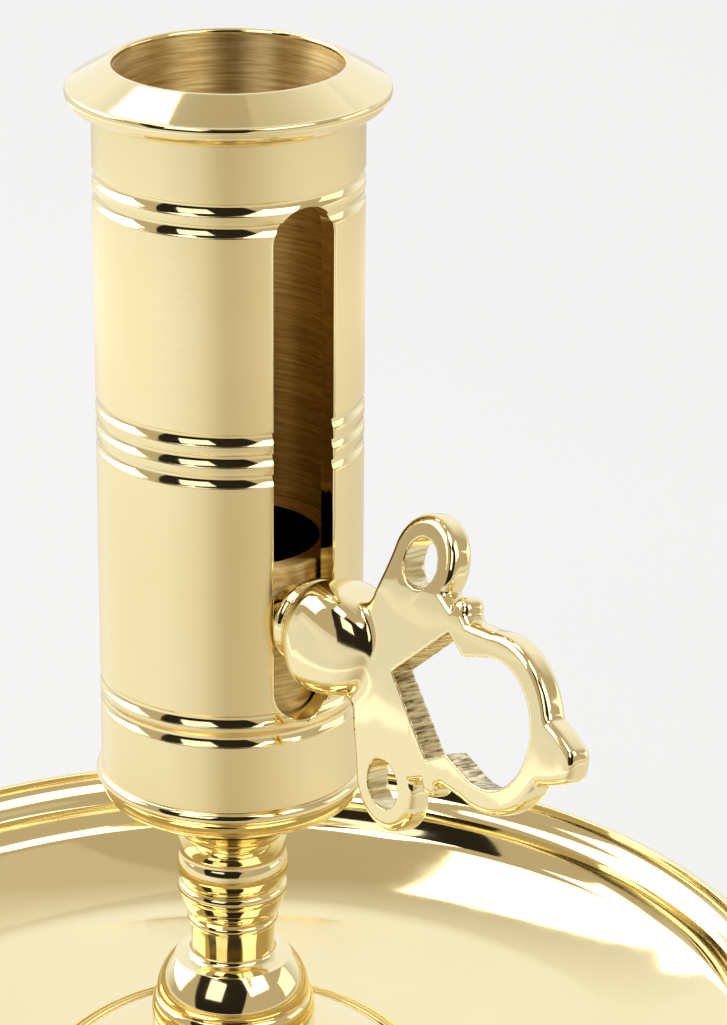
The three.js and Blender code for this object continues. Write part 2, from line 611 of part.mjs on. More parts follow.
// The leaf: a bow that reaches out to the bore, and above it a flat tab under the rivet.
function frictionSpring() {
  const seat = pocketFloor + LEAF_GAP;
  const borePlane = BORE_RADIUS * Math.cos(Math.PI / TURNED_SIDES);
  const crest = Math.sqrt(borePlane ** 2 - (LEAF_WIDTH / 2) ** 2) - LEAF_GAP - LEAF_THICKNESS;
  const foot = pocketMiddle - leafLength / 2;
  const bowLength = leafLength - LEAF_TAB;
  const inner = [];
  for (let i = 0; i <= ARC_STEPS; i += 1) {
    const share = i / ARC_STEPS;
    const rise = (1 - Math.cos(2 * Math.PI * share)) / 2;
    inner.push(point(seat + (crest - seat) * rise, foot + bowLength * share));
  }
  inner.push(point(seat, foot + leafLength));
  const outer = inner.map((p) => point(p.x + LEAF_THICKNESS, p.y));
  const side = new THREE.Shape([...inner, ...outer.reverse()].map((p) => point(-p.x, p.y)));
  const strip = new THREE.ExtrudeGeometry(side, { depth: LEAF_WIDTH, bevelEnabled: false });
  strip.rotateX(Math.PI / 2).translate(0, LEAF_WIDTH / 2, 0);
  const hole = new THREE.CylinderGeometry(rivetHole, rivetHole, 2 * CUP_WALL, SMALL_SIDES);
  hole.rotateZ(Math.PI / 2).translate(-seat, 0, tabMiddle);
  const leaf = solid(strip).subtract(solid(hole));
  return piece("friction_spring", geometryOf(leaf), steel(), neckHeight);
}

function springRivet() {
  const headUnder = pocketFloor + LEAF_THICKNESS + 2 * LEAF_GAP;
  const tailUnder = Math.sqrt(cupBore ** 2 - RIVET_HEAD_RADIUS ** 2) - LEAF_GAP;
  const profile = [
    point(0, headUnder + RIVET_HEAD),
    point(RIVET_HEAD_RADIUS - RIVET_HEAD / 2, headUnder + RIVET_HEAD),
    point(RIVET_HEAD_RADIUS, headUnder + RIVET_HEAD / 2),
    point(RIVET_HEAD_RADIUS, headUnder),
    point(RIVET_RADIUS, headUnder),
    point(RIVET_RADIUS, tailUnder),
    point(RIVET_HEAD_RADIUS, tailUnder),
    point(RIVET_HEAD_RADIUS - RIVET_HEAD / 2, tailUnder - RIVET_HEAD),
    point(0, tailUnder - RIVET_HEAD),
  ];
  const rivet = turnedAlong(profile, SMALL_SIDES).rotateZ(Math.PI);
  return piece("spring_rivet", rivet, satinBrass(), neckHeight + tabMiddle);
}

// Under the boss, from the top down: washer, lock washer, nut and the end of the rod.
const washerUnder = bossTop - BOSS_THICKNESS - WASHER_THICKNESS;
const lockUnder = washerUnder - LOCK_THICKNESS;
const nutUnder = lockUnder - NUT_THICKNESS;
const rodUnder = nutUnder - ROD_PROUD;

function flatRing(radius, thickness) {
  return turned(
    ring(
      point(rodHole, 0),
      point(radius, 0),
      point(radius, thickness),
      point(rodHole, thickness),
    ),
    STEM_SIDES,
  );
}

function tieWasher() {
  return piece("tie_washer", flatRing(WASHER_RADIUS, WASHER_THICKNESS), steel(), washerUnder);
}

function lockWasher() {
  const split = new THREE.BoxGeometry(2 * LOCK_RADIUS, LOCK_SPLIT, 3 * LOCK_THICKNESS);
  split.translate(LOCK_RADIUS, 0, LOCK_THICKNESS / 2);
  const washer = solid(flatRing(LOCK_RADIUS, LOCK_THICKNESS)).subtract(solid(split));
  return piece("lock_washer", geometryOf(washer), steel(), lockUnder);
}

function tieNut() {
  const corner = NUT_FLATS / Math.sqrt(3);
  const hexagon = new THREE.Shape(arc(0, 0, corner, corner, 0, 300, 5));
  hexagon.holes.push(new THREE.Path(arc(0, 0, rodHole, rodHole, 0, 360, STEM_SIDES).slice(1)));
  const nut = new THREE.ExtrudeGeometry(hexagon, { depth: NUT_THICKNESS, bevelEnabled: false });
  return piece("tie_nut", closed(nut), steel(), nutUnder);
}

function tieRod() {
  const length = baseSeat + ROD_SOCKET - SEAT_GAP - rodUnder;
  const profile = [
    point(0, 0),
    point(ROD_RADIUS - ROD_CHAMFER, 0),
    point(ROD_RADIUS, ROD_CHAMFER),
    point(ROD_RADIUS, length - ROD_CHAMFER),
    point(ROD_RADIUS - ROD_CHAMFER, length),
    point(0, length),
  ];
  return piece("tie_rod", turned(profile, STEM_SIDES), steel(), rodUnder);
}

const body = new THREE.Group();
body.add(dripDish(), stemFlange(), stem(), tubeBase(), candleTube(), rimCollar());
body.add(tieRod(), tieWasher(), lockWasher(), tieNut());

const ejector = new THREE.Group();
ejector.add(followerCup(), thumbPiece(), ejectorScrew(), frictionSpring(), springRivet());

const candlestick = new THREE.Group();
candlestick.add(body, ejector);

export default candlestick;
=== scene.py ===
"""A brass push-up candlestick on a drip dish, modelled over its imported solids."""

import math
import typing

import bmesh
import bpy
from mathutils import Matrix, Vector
from mathutils.bvhtree import BVHTree


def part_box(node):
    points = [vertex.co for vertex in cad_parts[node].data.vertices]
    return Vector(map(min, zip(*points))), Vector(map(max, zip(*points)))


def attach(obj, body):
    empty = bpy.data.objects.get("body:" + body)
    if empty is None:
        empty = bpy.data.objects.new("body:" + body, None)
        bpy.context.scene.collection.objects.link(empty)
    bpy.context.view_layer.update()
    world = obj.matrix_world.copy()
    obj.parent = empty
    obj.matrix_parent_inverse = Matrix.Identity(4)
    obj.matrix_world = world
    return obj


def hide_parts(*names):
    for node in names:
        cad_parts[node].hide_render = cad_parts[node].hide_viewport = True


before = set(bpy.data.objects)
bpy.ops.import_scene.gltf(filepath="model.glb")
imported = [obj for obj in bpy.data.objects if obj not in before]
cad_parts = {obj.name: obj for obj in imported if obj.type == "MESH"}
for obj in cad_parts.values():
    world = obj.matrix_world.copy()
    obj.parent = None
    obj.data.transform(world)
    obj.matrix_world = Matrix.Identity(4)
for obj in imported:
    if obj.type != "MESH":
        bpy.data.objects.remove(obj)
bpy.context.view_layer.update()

bl_info = {
    "name": "Push-up Candlestick",
    "version": (1, 0, 0),
    "blender": (4, 5, 0),
    "location": "3D View > Sidebar > Candlestick",
    "description": "Builds a brass push-up candlestick on a drip dish, and its stage",
    "category": "Object",
}

MM = 0.001
MAIN = "body"
MOVING = "ejector"
# Attribute of the walls of the openings, which get file marks and painted shade.
WALLS = "filed_walls_with_painted_shade"

# Boxes of the solids at rest, which give the seats and the outer radii.
BOX = {node: [Vector(corner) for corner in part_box(node)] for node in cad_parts}
DISH_EDGE = BOX["drip_dish"][1].z
BOSS_TOP = BOX["stem_flange"][0].z
STEM_SEAT = BOX["stem"][0].z
BASE_SEAT = BOX["tube_base"][0].z
TUBE_SEAT = BOX["candle_tube"][0].z
RIM_SEAT = BOX["rim_collar"][0].z
RIM_TOP = BOX["rim_collar"][1].z
CUP_FOOT = BOX["follower_cup"][0].z
CUP_TOP = BOX["follower_cup"][1].z
NECK_HEIGHT = (BOX["ejector_screw"][0].z + BOX["ejector_screw"][1].z) / 2
TUBE_RADIUS = BOX["candle_tube"][1].y
CUP_RADIUS = BOX["follower_cup"][1].y
ROD_RADIUS = BOX["tie_rod"][1].y

SHARP_ANGLE = math.radians(42)
FILLET_STEP = math.radians(11)
FILLET_REACH = 0.45
NEARLY_FLAT = math.radians(88)
NEARLY_FOLDED = math.radians(2)
LEVEL_FACE = 0.9

# Steps round a full turn, from the widest shapes to the smallest.
DISH_STEPS = 256
FINE_STEPS = 200
STEM_STEPS = 128
MEDIUM_STEPS = 96
SMALL_STEPS = 64
PIN_STEPS = 48
RIVET_STEPS = 40

# The skin of the casting: size of its grid, rounds of smoothing, and share of its faces that are kept.
SKIN_GRID = 0.135 * MM
BLEND_ROUNDS = 140
BUFF_ROUNDS = 6
KEPT_FACES = 0.5

# Clearances, each on the radius.
SPIGOT_GAP = 0.3 * MM
SCREW_GAP = 0.3 * MM
RIVET_GAP = 0.15 * MM


def length(name, description, millimetres):
    """A size that a user would change."""
    return bpy.props.FloatProperty(
        name=name,
        description=description,
        default=millimetres * MM,
        min=0.0,
        precision=5,
        subtype="DISTANCE",
        unit="LENGTH",
    )


def angle(name, description, degrees):
    """An angle that a user would change."""
    return bpy.props.FloatProperty(
        name=name,
        description=description,
        default=math.radians(degrees),
        subtype="ANGLE",
        unit="ROTATION",
    )


def share(name, description, default):
    """A plain factor from none to all."""
    return bpy.props.FloatProperty(
        name=name, description=description, default=default, min=0.0, max=1.0, subtype="FACTOR"
    )


def strength(name, description, default):
    """A brightness without a unit."""
    return bpy.props.FloatProperty(name=name, description=description, default=default, min=0.0)


def colour(name, description, default):
    """A colour in linear light."""
    return bpy.props.FloatVectorProperty(
        name=name, description=description, default=default, size=3, min=0.0, max=1.0, subtype="COLOR"
    )


class CANDLESTICK_PG_dish(bpy.types.PropertyGroup):
    """Sizes of the drip dish."""

    radius: length("Radius", "Outer radius of the lip", BOX["drip_dish"][1].y / MM)
    lip_width: length("Lip Width", "From the outer edge in to the upper crease", 2.8)
    lip_drop: length("Lip Drop", "From the edge down to the upper crease", 3.0)
    lip_round: length("Lip Round", "Rounding of the outer edge", 0.36)
    band_width: length("Band Width", "Between the two creases, across", 1.3)
    band_drop: length("Band Drop", "Between the two creases, down", 3.3)
    crease: length("Crease", "Step at each crease", 0.35)
    cove_width: length("Cove Width", "From the lower crease in to the flat floor", 12.1)
    wall: length("Wall", "Thickness of the wall", 1.9)
    heel_width: length("Heel Width", "Width of the short bend at the foot of the cove", 2.8)
    heel_rise: length("Heel Rise", "Rise of that bend", 0.6)
    floor_height: length("Floor Height", "Edge of the floor above the table", 3.5)
    floor_sag: length("Floor Sag", "Fall of the floor from its edge to its flat middle", 0.4)
    floor_rise: length("Floor Rise", "Width of the outer part of the floor that rises to its edge", 9.0)
    floor_thickness: length("Floor Thickness", "Thickness of the flat floor", 2.0)
    foot_width: length("Foot Width", "Width of the foot ring", 3.2)
    boss_radius: length("Boss Radius", "Radius of the raised centre at its edge", 20.75)
    boss_edge: length("Boss Edge", "Rise of that edge above the floor", 3.1)
    boss_hollow: length("Boss Hollow", "Width of the hollow outside that edge", 2.6)
    boss_thickness: length("Boss Thickness", "Thickness of the raised centre", 2.2)


class CANDLESTICK_PG_stem(bpy.types.PropertyGroup):
    """Sizes of the flange, the stem and the base of the tube."""

    flange_radius: length("Flange Radius", "Radius of the disc under the stem", BOX["stem_flange"][1].y / MM)
    flange_round: length("Flange Round", "Height of the rounded top edge of the disc", 2.4)
    foot_radius: length("Foot Radius", "Radius at the foot of the stem", BOX["stem"][1].y / MM)
    foot_lip: length("Foot Lip", "Height of the upright edge of the foot", 0.35)
    foot_height: length("Foot Height", "Height of the edge where the dome of the foot ends", 4.5)
    foot_top: length("Foot Top", "Radius of that edge", 6.2)
    shoulder_rise: length("Shoulder Rise", "Rise of the nearly flat shoulder inside the edge", 0.3)
    shank_rise: length("Shank Rise", "Height where the shoulder has bent up into the shank", 5.5)
    shank_radius: length("Shank Radius", "Radius of the shank", 4.45)
    ring_rise: length("Ring Rise", "Height of the small ring above the foot", 9.0)
    ring_radius: length("Ring Radius", "Half the height of the small ring", 0.5)
    ring_swell: length("Ring Swell", "How far the small ring stands out", 0.38)
    collar_radius: length("Collar Radius", "Radius of the collar at the top", 5.85)
    collar_height: length("Collar Height", "Height of the collar", 1.5)
    neck_inset: length("Neck Inset", "How far the collar stands out from its core", 0.5)
    pedestal_radius: length("Pedestal Radius", "Radius of the bulging pedestal", 5.9)
    pedestal_swell: length("Pedestal Swell", "How far the pedestal bulges", 0.7)
    pedestal_height: length("Pedestal Height", "Height of the pedestal", 3.5)
    underside_bend: length("Underside Bend", "Height that the hollow underside bends about", 7.3)
    underside_height: length("Underside Height", "Height of the hollow underside", 10.9)
    band_inset: length("Band Inset", "How far the band stands back from the tube", 0.2)
    band_height: length("Band Height", "Height of the band under the bead", 1.1)
    base_height: length("Base Height", "From the stem to the seat of the tube", 14.0)
    bead_radius: length("Bead Radius", "Radius of the bead under the tube", 0.8)
    bead_swell: length("Bead Swell", "How far the bead stands out from the tube", 0.55)
    rod_socket: length("Rod Socket", "Depth of the hole for the tie rod", 13.0)


class CANDLESTICK_PG_tube(bpy.types.PropertyGroup):
    """Sizes of the tube and its rim."""

    bore: length("Bore Radius", "Inner radius of the tube", 11.5)
    spigot_wall: length("Spigot Wall", "Wall of the step that holds the rim", 1.1)
    groove_depth: length("Groove Depth", "Depth of a turned groove", 0.45)
    groove_width: length("Groove Width", "Width of a turned groove", 1.3)
    groove_pitch: length("Groove Pitch", "Spacing of the grooves in a row", 2.2)
    groove_edge: length("Groove Edge", "Rounding where a groove meets the tube", 0.06)
    upper_drop: length("Upper Row", "Middle of the upper two grooves, below the rim", 7.45)
    middle_drop: length("Middle Row", "Middle of the three grooves, below the rim", 32.35)
    lower_rise: length("Lower Row", "Middle of the lower two grooves, above the base", 9.0)
    slot_width: length("Slot Width", "Width of the long slot", 7.2)
    slot_foot: length("Slot Foot", "From the base up to the slot", 9.45)
    slot_head: length("Slot Head", "From the rim down to the slot", 6.8)
    slot_round: length("Slot Round", "Rounding of the outer edge of the slot", 0.3)
    overhang: length("Rim Overhang", "How far the rim stands out from the tube", 2.6)
    edge_rise: length("Rim Edge Rise", "Height of the widest point of the rim", 2.1)
    face_drop: length("Rim Face Drop", "Fall of the sloping top face", 2.25)
    edge_round: length("Rim Edge Round", "Rounding of the outer edge of the rim", 0.3)
    lip_radius: length("Rim Lip Radius", "Rounding of the edge of the bore", 0.42)
    seam: length("Seam", "Hairline between the tube and the rim in the bore", 0.03)


class CANDLESTICK_PG_ejector(bpy.types.PropertyGroup):
    """Sizes of the cup, the thumb piece and what holds them."""

    cup_wall: length("Cup Wall", "Wall of the follower cup", 2.0)
    cup_floor: length("Cup Floor", "Floor of the follower cup", 2.0)
    pocket_depth: length("Pocket Depth", "Depth of the pocket for the leaf", 0.9)
    leaf_width: length("Leaf Width", "Width of the steel leaf", 4.0)
    leaf_thickness: length("Leaf Thickness", "Thickness of the steel leaf", 0.3)
    leaf_tab: length("Leaf Tab", "Length of the flat tab under the rivet", 3.0)
    screw_radius: length("Screw Radius", "Radius of the screw", 1.5)
    screw_head: length("Screw Head", "Radius of the head of the screw", 2.3)
    driver_slot: length("Driver Slot", "Width and depth of the slot in the screw", 0.6)
    rivet_radius: length("Rivet Radius", "Radius of the rivet", 0.6)
    rivet_head: length("Rivet Head", "Radius of the rounded heads of the rivet", 1.1)
    shoulder_gap: length("Shoulder Gap", "Clearance between the shoulder and the tube", 0.35)
    shoulder_radius: length("Shoulder Radius", "Radius of the shoulder outside the slot", 4.6)
    shoulder_width: length("Shoulder Width", "Thickness of the shoulder", 0.6)
    shank_radius: length("Shank Radius", "Radius of the shank in the slot", 3.3)
    waist: length("Waist", "Depth of the hollow behind the shoulder", 0.35)
    bulb_radius: length("Bulb Radius", "Greatest radius of the bulb", 5.65)
    bulb_reach: length("Bulb Reach", "From the shoulder to the widest point", 4.3)
    bulb_end: length("Bulb End", "From the shoulder to the end of the bulb", 13.2)
    bulb_square: share("Bulb Square", "How far the sides of the bulb are flattened", 0.9)
    bulb_flat: share("Bulb Flat", "Thickness of the bulb as a share of its height", 0.84)
    plate_thickness: length("Plate Thickness", "Thickness of the flat plate", 2.7)
    plate_round: length("Plate Round", "Rounding of the outer edge of the plate", 0.8)
    blend: length("Blend", "Width of the blend between bulb and plate", 2.6)
    twist: angle("Twist", "Turn of the plate about the neck", 11.5)
    lift: angle("Lift", "Rise of the plate towards its tip", 0.6)
    root_reach: length("Root Reach", "Start of the plate in the bulb", 5.0)
    root_spread: length("Root Spread", "Half height of the plate at its start", 4.4)
    eye_reach: length("Eye Reach", "From the shoulder to the middle of the round end", 31.2)
    eye_radius: length("Eye Radius", "Radius of the round end", 8.85)
    window_radius: length("Window Radius", "Radius of the round end of the window", 6.3)
    knob_reach: length("Knob Reach", "From the shoulder to the small knobs", 23.8)
    knob_spread: length("Knob Spread", "From the middle line to the small knobs", 8.9)
    knob_radius: length("Knob Radius", "Radius of the small knobs", 1.25)
    ear_reach: length("Ear Reach", "From the shoulder to the ears", 16.7)
    ear_spread: length("Ear Spread", "From the middle line to the ears", 11.4)
    ear_radius: length("Ear Radius", "Radius of the ears", 4.8)
    ear_hole: length("Ear Hole", "Radius of the holes in the ears", 2.5)
    ear_bow: length("Ear Bow", "How far the tips of the ears lean back", 1.2)
    cusp_angle: angle("Cusp Angle", "Where the cusps of the window stand", 137.0)
    cusp_proud: length("Cusp Height", "How far the cusps stand off the round end", 0.92)
    corner_back: length("Corner Back", "From a cusp back to the corner of the point", 2.7)
    corner_rise: length("Corner Rise", "From a cusp out to that corner", 1.6)
    apex_back: length("Apex Back", "From those corners back to the apex", 7.4)
    tip_length: length("Tip Length", "Length of the tip beyond the round end", 3.85)
    tip_radius: length("Tip Radius", "Half height of the tip at its end", 1.75)


class CANDLESTICK_PG_tie(bpy.types.PropertyGroup):
    """Sizes of the tie rod and its washers and nut."""

    chamfer: length("Rod Chamfer", "Chamfer at the ends of the rod", 0.5)
    thread_pitch: length("Thread Pitch", "Spacing of the turns of the thread", 0.9)
    thread_depth: length("Thread Depth", "Depth of the thread", 0.35)
    thread_length: length("Thread Length", "Length of thread at each end", 9.0)
    hole: length("Hole Radius", "Radius of the holes for the rod", 3.3)
    washer_edge: length("Washer Edge", "Rounding of the washers", 0.2)
    lock_split: length("Lock Split", "Width of the split in the lock washer", 1.0)
    nut_flats: length("Nut Flats", "Across the flats of the nut", 10.0)
    nut_chamfer: length("Nut Chamfer", "Chamfer at the corners of the nut", 0.7)


class CANDLESTICK_PG_finish(bpy.types.PropertyGroup):
    """Colours and polish of the metals."""

    brass_pale: colour("Pale Brass", "Palest tone of the brass", (0.905, 0.785, 0.455))
    brass_deep: colour("Deep Brass", "Deepest tone of the brass", (0.885, 0.755, 0.415))
    bore_pale: colour("Bore Brass", "Palest tone of turned marks", (0.98, 0.80, 0.40))
    bore_deep: colour("Deep Bore", "Deepest tone of turned marks", (0.70, 0.48, 0.18))
    # Painted shade: a near-black colour for the inside of the follower cup, where little light reaches.
    painted_cup_shade: colour("Painted Cup Shade", "Painted shade on the inside of the follower cup", (0.012, 0.007, 0.004))
    # Painted shade: the dark tone of the streaks on the walls of the openings in the thumb piece.
    painted_streak_shade: colour("Painted Streak Shade", "Deepest tone of filed strokes", (0.16, 0.10, 0.04))
    steel_pale: colour("Pale Steel", "Palest tone of the steel", (0.62, 0.61, 0.59))
    steel_deep: colour("Deep Steel", "Deepest tone of the steel", (0.45, 0.44, 0.43))
    polish: share("Polish", "Roughness of the polished brass", 0.06)
    satin: share("Satin", "Roughness of the satin brass", 0.24)
    brushing: share("Brushing", "How far the satin stretches its highlights", 0.35)


class CANDLESTICK_PG_stage(bpy.types.PropertyGroup):
    """Camera, light and floor."""

    floor_tone: colour("Floor Tone", "Colour of the floor", (0.885, 0.888, 0.893))
    front_tone: colour("Front Tone", "Room behind the camera", (0.50, 0.43, 0.33))
    side_tone: colour("Side Tone", "Room at the sides and overhead", (0.46, 0.40, 0.31))
    back_tone: colour("Back Tone", "Room behind the object", (0.90, 0.92, 1.0))
    studio_level: strength("Studio Level", "Brightness of the room", 1.15)
    table_level: strength("Table Level", "Brightness of the table that the metal mirrors", 1.0)
    lamp_level: strength("Lamp Level", "Brightness of the soft boxes", 0.8)
    heading: angle("Heading", "Where the camera stands round the object", 55.9)
    distance: length("Distance", "From the axis to the camera, level", 410.35)
    height: length("Height", "Height of the camera above the table", 235.94)
    pitch: angle("Pitch", "How far the camera looks down", 21.799)
    aside: angle("Aside", "How far the camera looks to the right of the axis", 1.902)
    roll: angle("Roll", "Roll of the camera", 0.401)
    lens: bpy.props.FloatProperty(
        name="Lens", description="Focal length of the camera", default=151.24, subtype="DISTANCE_CAMERA"
    )


def arc(centre, width, height, start, end, steps):
    """Points of an elliptical arc, the angles in degrees."""
    points = []
    for i in range(steps + 1):
        turn = math.radians(start + (end - start) * i / steps)
        points.append((centre[0] + width * math.cos(turn), centre[1] + height * math.sin(turn)))
    return points


def pull(start, corner, end, steps=16):
    """Points of a curve from start to end that is pulled towards a corner, both ends included."""
    points = []
    for i in range(steps + 1):
        t = i / steps
        weights = ((1 - t) ** 2, 2 * t * (1 - t), t**2)
        points.append(tuple(sum(w * p[k] for w, p in zip(weights, (start, corner, end))) for k in (0, 1)))
    return points


def fillet(before, corner, after, radius):
    """Points that round one corner between its two neighbours."""
    back = (before - corner).normalized()
    ahead = (after - corner).normalized()
    half = back.angle(ahead) / 2
    if half > NEARLY_FLAT or half < NEARLY_FOLDED:
        return [corner]
    room = min(FILLET_REACH * (before - corner).length, FILLET_REACH * (after - corner).length)
    reach = min(radius / math.tan(half), room)
    middle = corner + (back + ahead).normalized() * (reach / math.cos(half))
    first = corner + back * reach - middle
    last = corner + ahead * reach - middle
    steps = max(3, math.ceil((math.pi - 2 * half) / FILLET_STEP))
    return [middle + first.slerp(last, i / steps) * first.length for i in range(steps + 1)]


def outline(points, closed=True):
    """A profile whose third numbers round its corners, with points beside the ends of each long flat."""
    places = [Vector(p[:2]) for p in points]
    count = len(places)
    rounded = []
    for i, p in enumerate(points):
        inside = closed or 0 < i < count - 1
        if len(p) == 3 and inside:
            rounded += fillet(places[i - 1], places[i], places[(i + 1) % count], p[2])
        else:
            rounded.append(places[i])
    flat, beside = 1.0 * MM, 0.12 * MM
    result = []
    for i, here in enumerate(rounded):
        result.append(here)
        if i + 1 == len(rounded) and not closed:
            break
        there = rounded[(i + 1) % len(rounded)]
        if (there - here).length > flat:
            along = (there - here).normalized() * beside
            result += [here + along, there - along]
    return result


def wire(shape, places, closed):
    """Vertices joined by edges, as the start of a shape."""
    verts = [shape.verts.new(place) for place in places]
    ends = verts[1:] + verts[:1] if closed else verts[1:]
    edges = [shape.edges.new(pair) for pair in zip(verts, ends)]
    return verts, edges


def of_kind(parts, kind):
    """Those parts of a shape that are of one kind."""
    return [part for part in parts if isinstance(part, kind)]


def clean(shape):
    """Merges doubles and turns every face outwards."""
    bmesh.ops.remove_doubles(shape, verts=shape.verts, dist=0.0005 * MM)
    bmesh.ops.recalc_face_normals(shape, faces=shape.faces)
    return shape


def turned(profile, steps=FINE_STEPS, closed=True, height=0.0):
    """A shape turned about the upright axis from (radius, height) points."""
    shape = bmesh.new()
    places = [(r, 0.0, z + height) for r, z in outline(profile, closed)]
    verts, edges = wire(shape, places, closed)
    spin(shape, verts + edges, (0, 0, 0), (0, 0, 1), steps)
    return clean(shape)


def turned_along(profile, steps=SMALL_STEPS, closed=False, height=0.0):
    """A shape turned about a level axis along X from (radius, distance) points."""
    shape = bmesh.new()
    places = [(x, 0.0, r + height) for r, x in outline(profile, closed)]
    verts, edges = wire(shape, places, closed)
    spin(shape, verts + edges, (0, 0, height), (1, 0, 0), steps)
    return clean(shape)


def spin(shape, geometry, centre, axis, steps):
    """Sweeps a wire once round an axis."""
    bmesh.ops.spin(
        shape, geom=geometry, cent=centre, axis=axis, angle=math.tau, steps=steps, use_merge=True
    )


def prism(points, thickness, rounding=0.0, segments=4):
    """A flat outline given thickness about its own plane, the edges of both faces rounded."""
    shape = bmesh.new()
    verts, _ = wire(shape, [(x, y, -thickness / 2) for x, y in points], True)
    face = shape.faces.new(verts)
    grown = bmesh.ops.extrude_face_region(shape, geom=[face], use_keep_orig=True)["geom"]
    top = of_kind(grown, bmesh.types.BMVert)
    bmesh.ops.translate(shape, verts=top, vec=(0, 0, thickness))
    bmesh.ops.recalc_face_normals(shape, faces=shape.faces)
    if rounding:
        caps = [f for f in shape.faces if abs(f.normal.z) > LEVEL_FACE]
        rims = list({edge for cap in caps for edge in cap.edges})
        bmesh.ops.bevel(
            shape,
            geom=rims,
            offset=rounding,
            affect="EDGES",
            segments=segments,
            profile=0.5,
            material=-1,
            clamp_overlap=False,
        )
    return clean(shape)


def block(size, middle):
    """A plain box."""
    shape = bmesh.new()
    bmesh.ops.create_cube(shape, size=1.0)
    bmesh.ops.scale(shape, vec=size, verts=shape.verts)
    bmesh.ops.translate(shape, vec=middle, verts=shape.verts)
    return shape


def cross_pin(radius, start, end, height):
    """A plain cylinder along X."""
    return turned_along([(0, start), (radius, start), (radius, end), (0, end)], PIN_STEPS, height=height)


def new_object(name, shape, materials=()):
    """An object at the origin that holds a shape."""
    mesh = bpy.data.meshes.new(name)
    shape.to_mesh(mesh)
    shape.free()
    for material in materials:
        mesh.materials.append(material)
    obj = bpy.data.objects.new(name, mesh)
    bpy.context.scene.collection.objects.link(obj)
    return obj


def settle(helper):
    """The shape of a helper object after its modifiers, as a bmesh."""
    depsgraph = bpy.context.evaluated_depsgraph_get()
    mesh = bpy.data.meshes.new_from_object(helper.evaluated_get(depsgraph))
    shape = bmesh.new()
    shape.from_mesh(mesh)
    bpy.data.meshes.remove(mesh)
    return shape


def discard(*helpers):
    """Removes helper objects with their meshes."""
    for helper in helpers:
        bpy.data.meshes.remove(helper.data)


def combined(shape, tools, operation):
    """A shape after each tool is cut from it or joined to it."""
    base = new_object("helper", shape)
    helpers = [new_object("helper", tool) for tool in tools]
    for helper in helpers:
        step = base.modifiers.new("step", "BOOLEAN")
        step.operation = operation
        step.object = helper
        step.solver = "EXACT"
    result = settle(base)
    discard(base, *helpers)
    return result


def piece(name, shape, body, node, finishes, sharp=True):
    """A finished object of the candlestick that stands for one solid."""
    obj = new_object(name, shape, finishes)
    obj.data.shade_smooth()
    if sharp:
        obj.data.set_sharp_from_angle(angle=SHARP_ANGLE)
    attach(obj, body)
    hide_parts(node)
    return obj


def paint(shape, choose):
    """Gives each face the number of its material."""
    for face in shape.faces:
        centre = face.calc_center_median()
        face.material_index = choose(math.hypot(centre.x, centre.y), centre.z, face.normal)


def new_material(name):
    """A material, its node tree and its shader."""
    material = bpy.data.materials.new(name)
    material.use_nodes = True
    return material, material.node_tree, material.node_tree.nodes["Principled BSDF"]


def node(tree, kind, **inputs):
    """A node with some of its sockets set by name."""
    made = tree.nodes.new(kind)
    for key, value in inputs.items():
        made.inputs[key.replace("_", " ")].default_value = value
    return made


def computed(tree, kind, operation, *values):
    """A math node whose inputs are sockets or plain values, in order."""
    made = tree.nodes.new(kind)
    made.operation = operation
    for socket, value in zip(made.inputs, values):
        if isinstance(value, bpy.types.NodeSocket):
            tree.links.new(value, socket)
        else:
            socket.default_value = value
    return made


def object_place(tree):
    """Coordinates of the object itself."""
    return node(tree, "ShaderNodeTexCoord").outputs["Object"]


def stretched(tree, place, scale, turn=(0.0, 0.0, 0.0)):
    """Coordinates stretched along the axes, after a turn."""
    mapping = node(tree, "ShaderNodeMapping", Scale=scale, Rotation=turn)
    tree.links.new(place, mapping.inputs["Vector"])
    return mapping.outputs["Vector"]


def noise(tree, place, scale, detail=3.0, roughness=0.5):
    """A grey noise pattern."""
    made = node(tree, "ShaderNodeTexNoise", Scale=scale, Detail=detail, Roughness=roughness)
    tree.links.new(place, made.inputs["Vector"])
    return made.outputs["Fac"]


def spread(tree, value, low, high, start=0.3, end=0.7):
    """A grey pattern taken to a range of values."""
    made = node(tree, "ShaderNodeMapRange", From_Min=start, From_Max=end, To_Min=low, To_Max=high)
    tree.links.new(value, made.inputs["Value"])
    return made.outputs["Result"]


def ramp(tree, value, stops):
    """A grey pattern taken through colours at given places."""
    made = tree.nodes.new("ShaderNodeValToRGB")
    elements = made.color_ramp.elements
    while len(elements) < len(stops):
        elements.new(0.5)
    for element, (place, tone) in zip(elements, stops):
        element.position = place
        element.color = (*tone, 1.0)
    tree.links.new(value, made.inputs["Fac"])
    return made.outputs["Color"]


def tones(tree, value, deep, pale, start=0.3, end=0.7):
    """A grey pattern taken to a range between two colours."""
    return ramp(tree, value, ((start, deep), (end, pale)))


def bump(tree, height, amount, depth, normal=None):
    """A relief from a grey pattern, on top of another relief if there is one."""
    made = node(tree, "ShaderNodeBump", Strength=amount, Distance=depth)
    tree.links.new(height, made.inputs["Height"])
    if normal is not None:
        tree.links.new(normal, made.inputs["Normal"])
    return made.outputs["Normal"]


def dress(tree, shader, base, roughness, normal):
    """Joins the colour, roughness and relief to a metal shader."""
    shader.inputs["Metallic"].default_value = 1.0
    tree.links.new(base, shader.inputs["Base Color"])
    tree.links.new(roughness, shader.inputs["Roughness"])
    tree.links.new(normal, shader.inputs["Normal"])


def hand_polish(tree, place, finish):
    """Colour, hazy roughness and faint wave of brass polished by hand."""
    base = tones(tree, noise(tree, place, 45.0, 4.0), finish.brass_deep, finish.brass_pale)
    haze = noise(tree, place, 160.0, 5.0, 0.65)
    roughness = spread(tree, haze, finish.polish * 0.6, finish.polish * 1.7)
    wave = bump(tree, noise(tree, place, 110.0, 1.0), 0.05, 0.4 * MM)
    return base, roughness, wave


